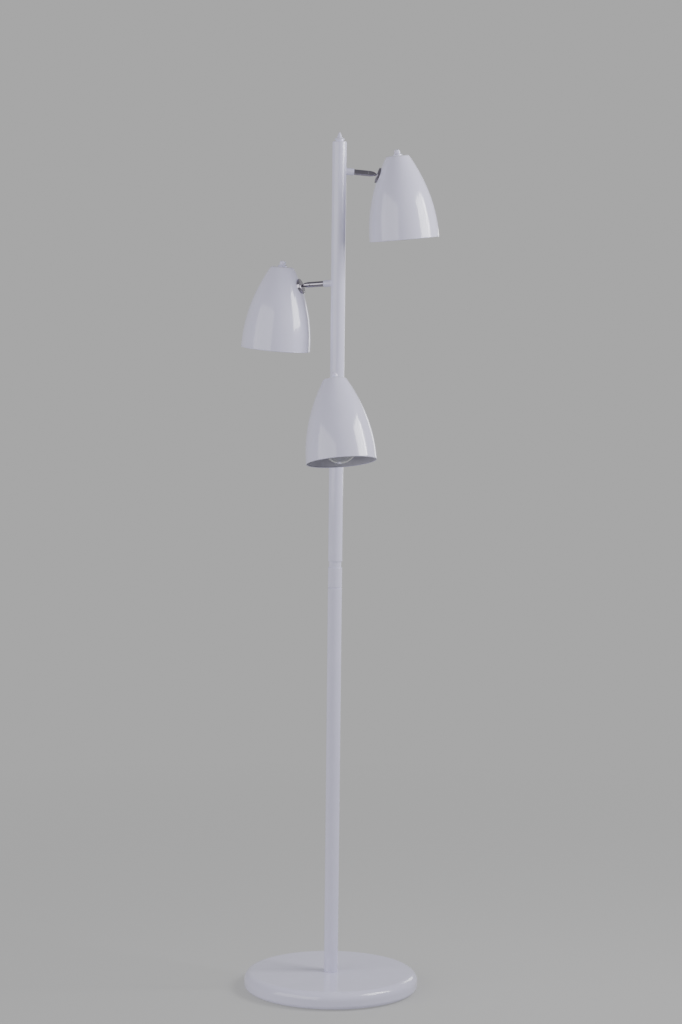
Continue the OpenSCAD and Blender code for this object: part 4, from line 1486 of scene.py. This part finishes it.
class LAMP_OT_filaments(bpy.types.Operator):
    """Press the glass stems, bend their support wires and wind the coiled filaments"""

    bl_idname = "lamp.filaments"
    bl_label = "Bulb filaments"

    def execute(self, context):
        sizes = context.scene.lamp_bulb
        for head in HEADS:
            place = shade_place(head)
            low, high = span(f"{head}_bulb_filament", place)
            seen = points(f"{head}_bulb_filament", place)
            base = max(p.xy.length for p in seen if p.z > high.z - 0.1 * MM)
            ring = high.y - sizes.hook_inset
            ring_height = low.z + sizes.hook
            stem_end = high.z - sizes.stem
            stem = rounded([
                (0, stem_end, 0),
                (sizes.stem_tip, stem_end, 1.2 * MM),
                (sizes.stem_waist, stem_end + sizes.waist_height, 6 * MM),
                (sizes.stem_flare, high.z - sizes.flare_start, 5 * MM),
                (base, high.z - sizes.flare_end, 1.2 * MM),
                (base, high.z, 0.3 * MM),
                (0, high.z, 0),
            ], closed=False)
            piece(f"{head}_bulb_stem", lathe(stem, 48, closed=False), place, f"{head}_head",
                  "stem_and_filament", f"{head}_bulb_filament")
            wires = bmesh.new()
            for side in (-1, 1):
                path = self.support(sizes, side, ring, ring_height, stem_end)
                self.join(wires, tube_mesh(path, sizes.support / 2, 10))
            self.join(wires, tube_mesh(self.coil(sizes, ring, ring_height), sizes.coil_wire / 2, 6))
            piece(f"{head}_bulb_wires", wires, place, f"{head}_head", "stem_and_filament",
                  finishes=["filament_wire"], crease=60)
        return {"FINISHED"}

    @staticmethod
    def join(target, source):
        """Adds one bmesh to another."""
        data = bpy.data.meshes.new("part")
        source.to_mesh(data)
        source.free()
        target.from_mesh(data)
        bpy.data.meshes.remove(data)

    @staticmethod
    def support(sizes, side, ring, height, stem_end):
        """A support wire that leaves the stem, spreads out and hooks round the filament's end."""
        root = Vector((0, side * sizes.support_aside, stem_end + sizes.support_root))
        knee = Vector((0, side * sizes.knee_aside, stem_end - sizes.knee_drop))
        tip = Vector((0, side * ring, height))
        path = [root] + line(root, knee, 4)
        path += ease(knee, Vector((0, 0, -2 * MM)), (tip - knee) * 0.4, tip, 12)
        hook = tip + Vector((sizes.hook, 0, 0))
        path += [hook + sizes.hook * Vector((-math.cos(a), 0, -math.sin(a)))
                 for a in (0.5 * k for k in range(1, 7))]
        return path

    @staticmethod
    def coil(sizes, ring, height):
        """The filament: a fine coil bent along half a ring."""
        path = []
        steps = sizes.coil_turns * 10
        for k in range(steps + 1):
            bend = math.pi * k / steps - math.pi / 2
            wind = TURN * sizes.coil_turns * k / steps
            out = ring + sizes.coil * math.cos(wind)
            path.append(Vector((
                out * math.cos(bend), out * math.sin(bend), height + sizes.coil * math.sin(wind))))
        return path


class LAMP_OT_head_wires(bpy.types.Operator):
    """Lay the sleeved wires from the ball studs to the lampholders"""

    bl_idname = "lamp.head_wires"
    bl_label = "Head wires"

    def execute(self, context):
        twist_pitch = 2.4 * MM
        twist_depth = 0.06
        waist = 0.93
        for head in HEADS:
            place = stud_place(head)
            low, high = span(f"{head}_head_wire", place)
            start = Vector((0, 0, low.z))
            mesh = tube_mesh([start] + line(start, (0, 0, high.z), 40), high.x, 16)
            for vertex in mesh.verts:
                angle = 2 * math.atan2(vertex.co.y, vertex.co.x)
                twist = math.sin(TURN * vertex.co.z / twist_pitch + angle)
                scale = waist + twist_depth * twist
                vertex.co.x *= scale
                vertex.co.y *= scale
            piece(f"{head}_head_wire_sleeve", mesh, place, f"{head}_head", "wire_insulation",
                  f"{head}_head_wire", crease=60)
        return {"FINISHED"}


class LAMP_OT_inner_parts(bpy.types.Operator):
    """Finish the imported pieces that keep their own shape: pad, weight, fasteners, wiring and contacts"""

    bl_idname = "lamp.inner_parts"
    bl_label = "Inner parts"

    def execute(self, context):
        kept = {
            "base_pad": "floor_foam",
            "base_weight": "cast_weight",
            "base_stud": "zinc_steel",
            "base_washer": "zinc_steel",
            "base_nut": "zinc_steel",
            "foot_bush": "zinc_steel",
            "pole_wiring": "wire_insulation",
        }
        kept.update({f"{head}_holder_contacts": "contact_brass" for head in HEADS})
        for node, finish in kept.items():
            for slot in frame["nodes"][node].material_slots:
                slot.material = material(finish)
        return {"FINISHED"}


# ---- Stage ----


class LAMP_OT_stage(bpy.types.Operator):
    """Lay the pale floor, hang the soft lights and set up the camera"""

    bl_idname = "lamp.stage"
    bl_label = "Studio"

    def execute(self, context):
        studio = context.scene.lamp_studio
        colours = context.scene.lamp_colours
        self.floor(studio, colours)
        self.surroundings(context, colours)
        self.light("key_box", 75, 1.6, 1.78, (0.95, 0.85), studio.key_power, studio.aim)
        self.light("side_strip", 92, 2.2, 1.9, (0.25, 0.9), studio.side_power, studio.aim)
        self.light("edge_strip", 152, 2.4, 1.05, (0.5, 0.8), studio.edge_power, studio.aim)
        self.light("fill_box", -48, 3.2, 1.7, (4.0, 2.4), studio.fill_power, studio.aim)
        self.camera(context, studio)
        return {"FINISHED"}

    @staticmethod
    def floor(studio, colours):
        """A round floor that fades into the surroundings towards its rim, and glows with a painted light in
        the backdrop's colour that lifts its shadows.
        """
        radii = [studio.floor_radius * k / 24 for k in range(25)]
        mesh = lathe([(r, 0) for r in radii], 128, closed=False)
        data = bpy.data.meshes.new("studio_floor")
        mesh.to_mesh(data)
        mesh.free()
        floor = bpy.data.objects.new("studio_floor", data)
        bpy.context.scene.collection.objects.link(floor)
        finish = Finish("studio_floor_paint")
        finish.colour(colours.floor, 0.012, 0.4)
        finish.roughness(0.8, 0.9, 0.2)
        # Painted light: the floor emits the backdrop's colour, so the shadows cast on it stay shallow
        finish.set(
            Specular_IOR_Level=0.1, Emission_Color=(*colours.backdrop, 1),
            Emission_Strength=studio.floor_painted_glow)
        reach = finish.add("ShaderNodeVectorMath", operation="LENGTH")
        finish.join(finish.where, reach.inputs[0])
        start = studio.floor_fade * studio.floor_radius
        fade = finish.ranged(reach.outputs["Value"], 1, 0, start, studio.floor_end * studio.floor_radius)
        finish.join(fade, finish.shader.inputs["Alpha"])
        data.materials.append(finish.material)

    @staticmethod
    def surroundings(context, colours):
        """A plain backdrop behind the lamp; the room in front of it and above is dim."""
        world = bpy.data.worlds.new("studio")
        world.use_nodes = True
        tree = world.node_tree
        where = tree.nodes.new("ShaderNodeTexCoord")
        split = tree.nodes.new("ShaderNodeSeparateXYZ")
        tree.links.new(where.outputs["Generated"], split.inputs["Vector"])
        seen = tree.nodes["Background"].inputs["Color"]
        for axis, start, end, first in (("Z", 0.35, 0.85, colours.ceiling), ("Y", 0.7, -0.1, colours.room)):
            ramp = tree.nodes.new("ShaderNodeMapRange")
            ramp.interpolation_type = "SMOOTHSTEP"
            ramp.inputs["From Min"].default_value = start
            ramp.inputs["From Max"].default_value = end
            tree.links.new(split.outputs[axis], ramp.inputs["Value"])
            mix = tree.nodes.new("ShaderNodeMix")
            mix.data_type = "RGBA"
            mix.inputs["A"].default_value = (*colours.backdrop, 1)
            mix.inputs["B"].default_value = (*first, 1)
            tree.links.new(ramp.outputs["Result"], mix.inputs["Factor"])
            tree.links.new(mix.outputs["Result"], seen)
            seen = mix.inputs["A"]
        context.scene.world = world

    @staticmethod
    def light(name, bearing, away, height, size, power, highest):
        """A rectangular light that looks at the lamp, at a bearing in degrees to the right of the camera."""
        data = bpy.data.lights.new(name, "AREA")
        data.shape = "RECTANGLE"
        data.size, data.size_y = size
        data.energy = power
        light = bpy.data.objects.new(name, data)
        bpy.context.scene.collection.objects.link(light)
        turn = math.radians(bearing)
        light.location = (away * math.sin(turn), -away * math.cos(turn), height)
        aim = Vector((0, 0, min(height, highest))) - light.location
        light.rotation_euler = aim.to_track_quat("-Z", "Y").to_euler()

    @staticmethod
    def camera(context, studio):
        """A long lens at eye level, looking slightly down."""
        data = bpy.data.cameras.new("studio_camera")
        data.lens = studio.lens
        data.sensor_width = 36
        data.clip_end = 100
        camera = bpy.data.objects.new("studio_camera", data)
        context.scene.collection.objects.link(camera)
        ahead = Vector((0, math.cos(studio.pitch), -math.sin(studio.pitch)))
        right = Vector((1, 0, 0))
        above = right.cross(ahead)
        right, above = (
            math.cos(studio.roll) * right + math.sin(studio.roll) * above,
            math.cos(studio.roll) * above - math.sin(studio.roll) * right,
        )
        camera.matrix_world = place_of(
            Vector((studio.aside, -studio.distance, studio.height)), right, above, -ahead)
        context.scene.camera = camera


# ---- Panel and registration ----

OPERATORS = (
    LAMP_OT_stage,
    LAMP_OT_base_cover,
    LAMP_OT_grommet,
    LAMP_OT_pole_tubes,
    LAMP_OT_coupling,
    LAMP_OT_finial,
    LAMP_OT_arm_bosses,
    LAMP_OT_arm_tubes,
    LAMP_OT_swivel_collars,
    LAMP_OT_ball_studs,
    LAMP_OT_swivel_flanges,
    LAMP_OT_stud_nuts,
    LAMP_OT_shades,
    LAMP_OT_ring_nuts,
    LAMP_OT_switch_knobs,
    LAMP_OT_lampholders,
    LAMP_OT_bulb_glasses,
    LAMP_OT_bulb_caps,
    LAMP_OT_filaments,
    LAMP_OT_head_wires,
    LAMP_OT_inner_parts,
)


class LAMP_PT_panel(bpy.types.Panel):
    """The lamp's sizes, colours and pieces"""

    bl_idname = "LAMP_PT_panel"
    bl_label = "Floor lamp"
    bl_space_type = "VIEW_3D"
    bl_region_type = "UI"
    bl_category = "Floor lamp"

    def draw(self, context):
        for operator in OPERATORS:
            self.layout.operator(operator.bl_idname)
        for name in GROUPS:
            box = self.layout.box()
            group = getattr(context.scene, name)
            for field in group.bl_rna.properties.keys():
                if field not in ("rna_type", "name"):
                    box.prop(group, field)


def register():
    for group in GROUPS.values():
        bpy.utils.register_class(group)
    for name, group in GROUPS.items():
        setattr(bpy.types.Scene, name, PointerProperty(type=group))
    for operator in OPERATORS:
        bpy.utils.register_class(operator)
    bpy.utils.register_class(LAMP_PT_panel)


def unregister():
    bpy.utils.unregister_class(LAMP_PT_panel)
    for operator in reversed(OPERATORS):
        bpy.utils.unregister_class(operator)
    for name, group in GROUPS.items():
        delattr(bpy.types.Scene, name)
        bpy.utils.unregister_class(group)


def main():
    register()
    for operator in OPERATORS:
        package, name = operator.bl_idname.split(".")
        getattr(getattr(bpy.ops, package), name)()


if __name__ == "__main__":
    main()
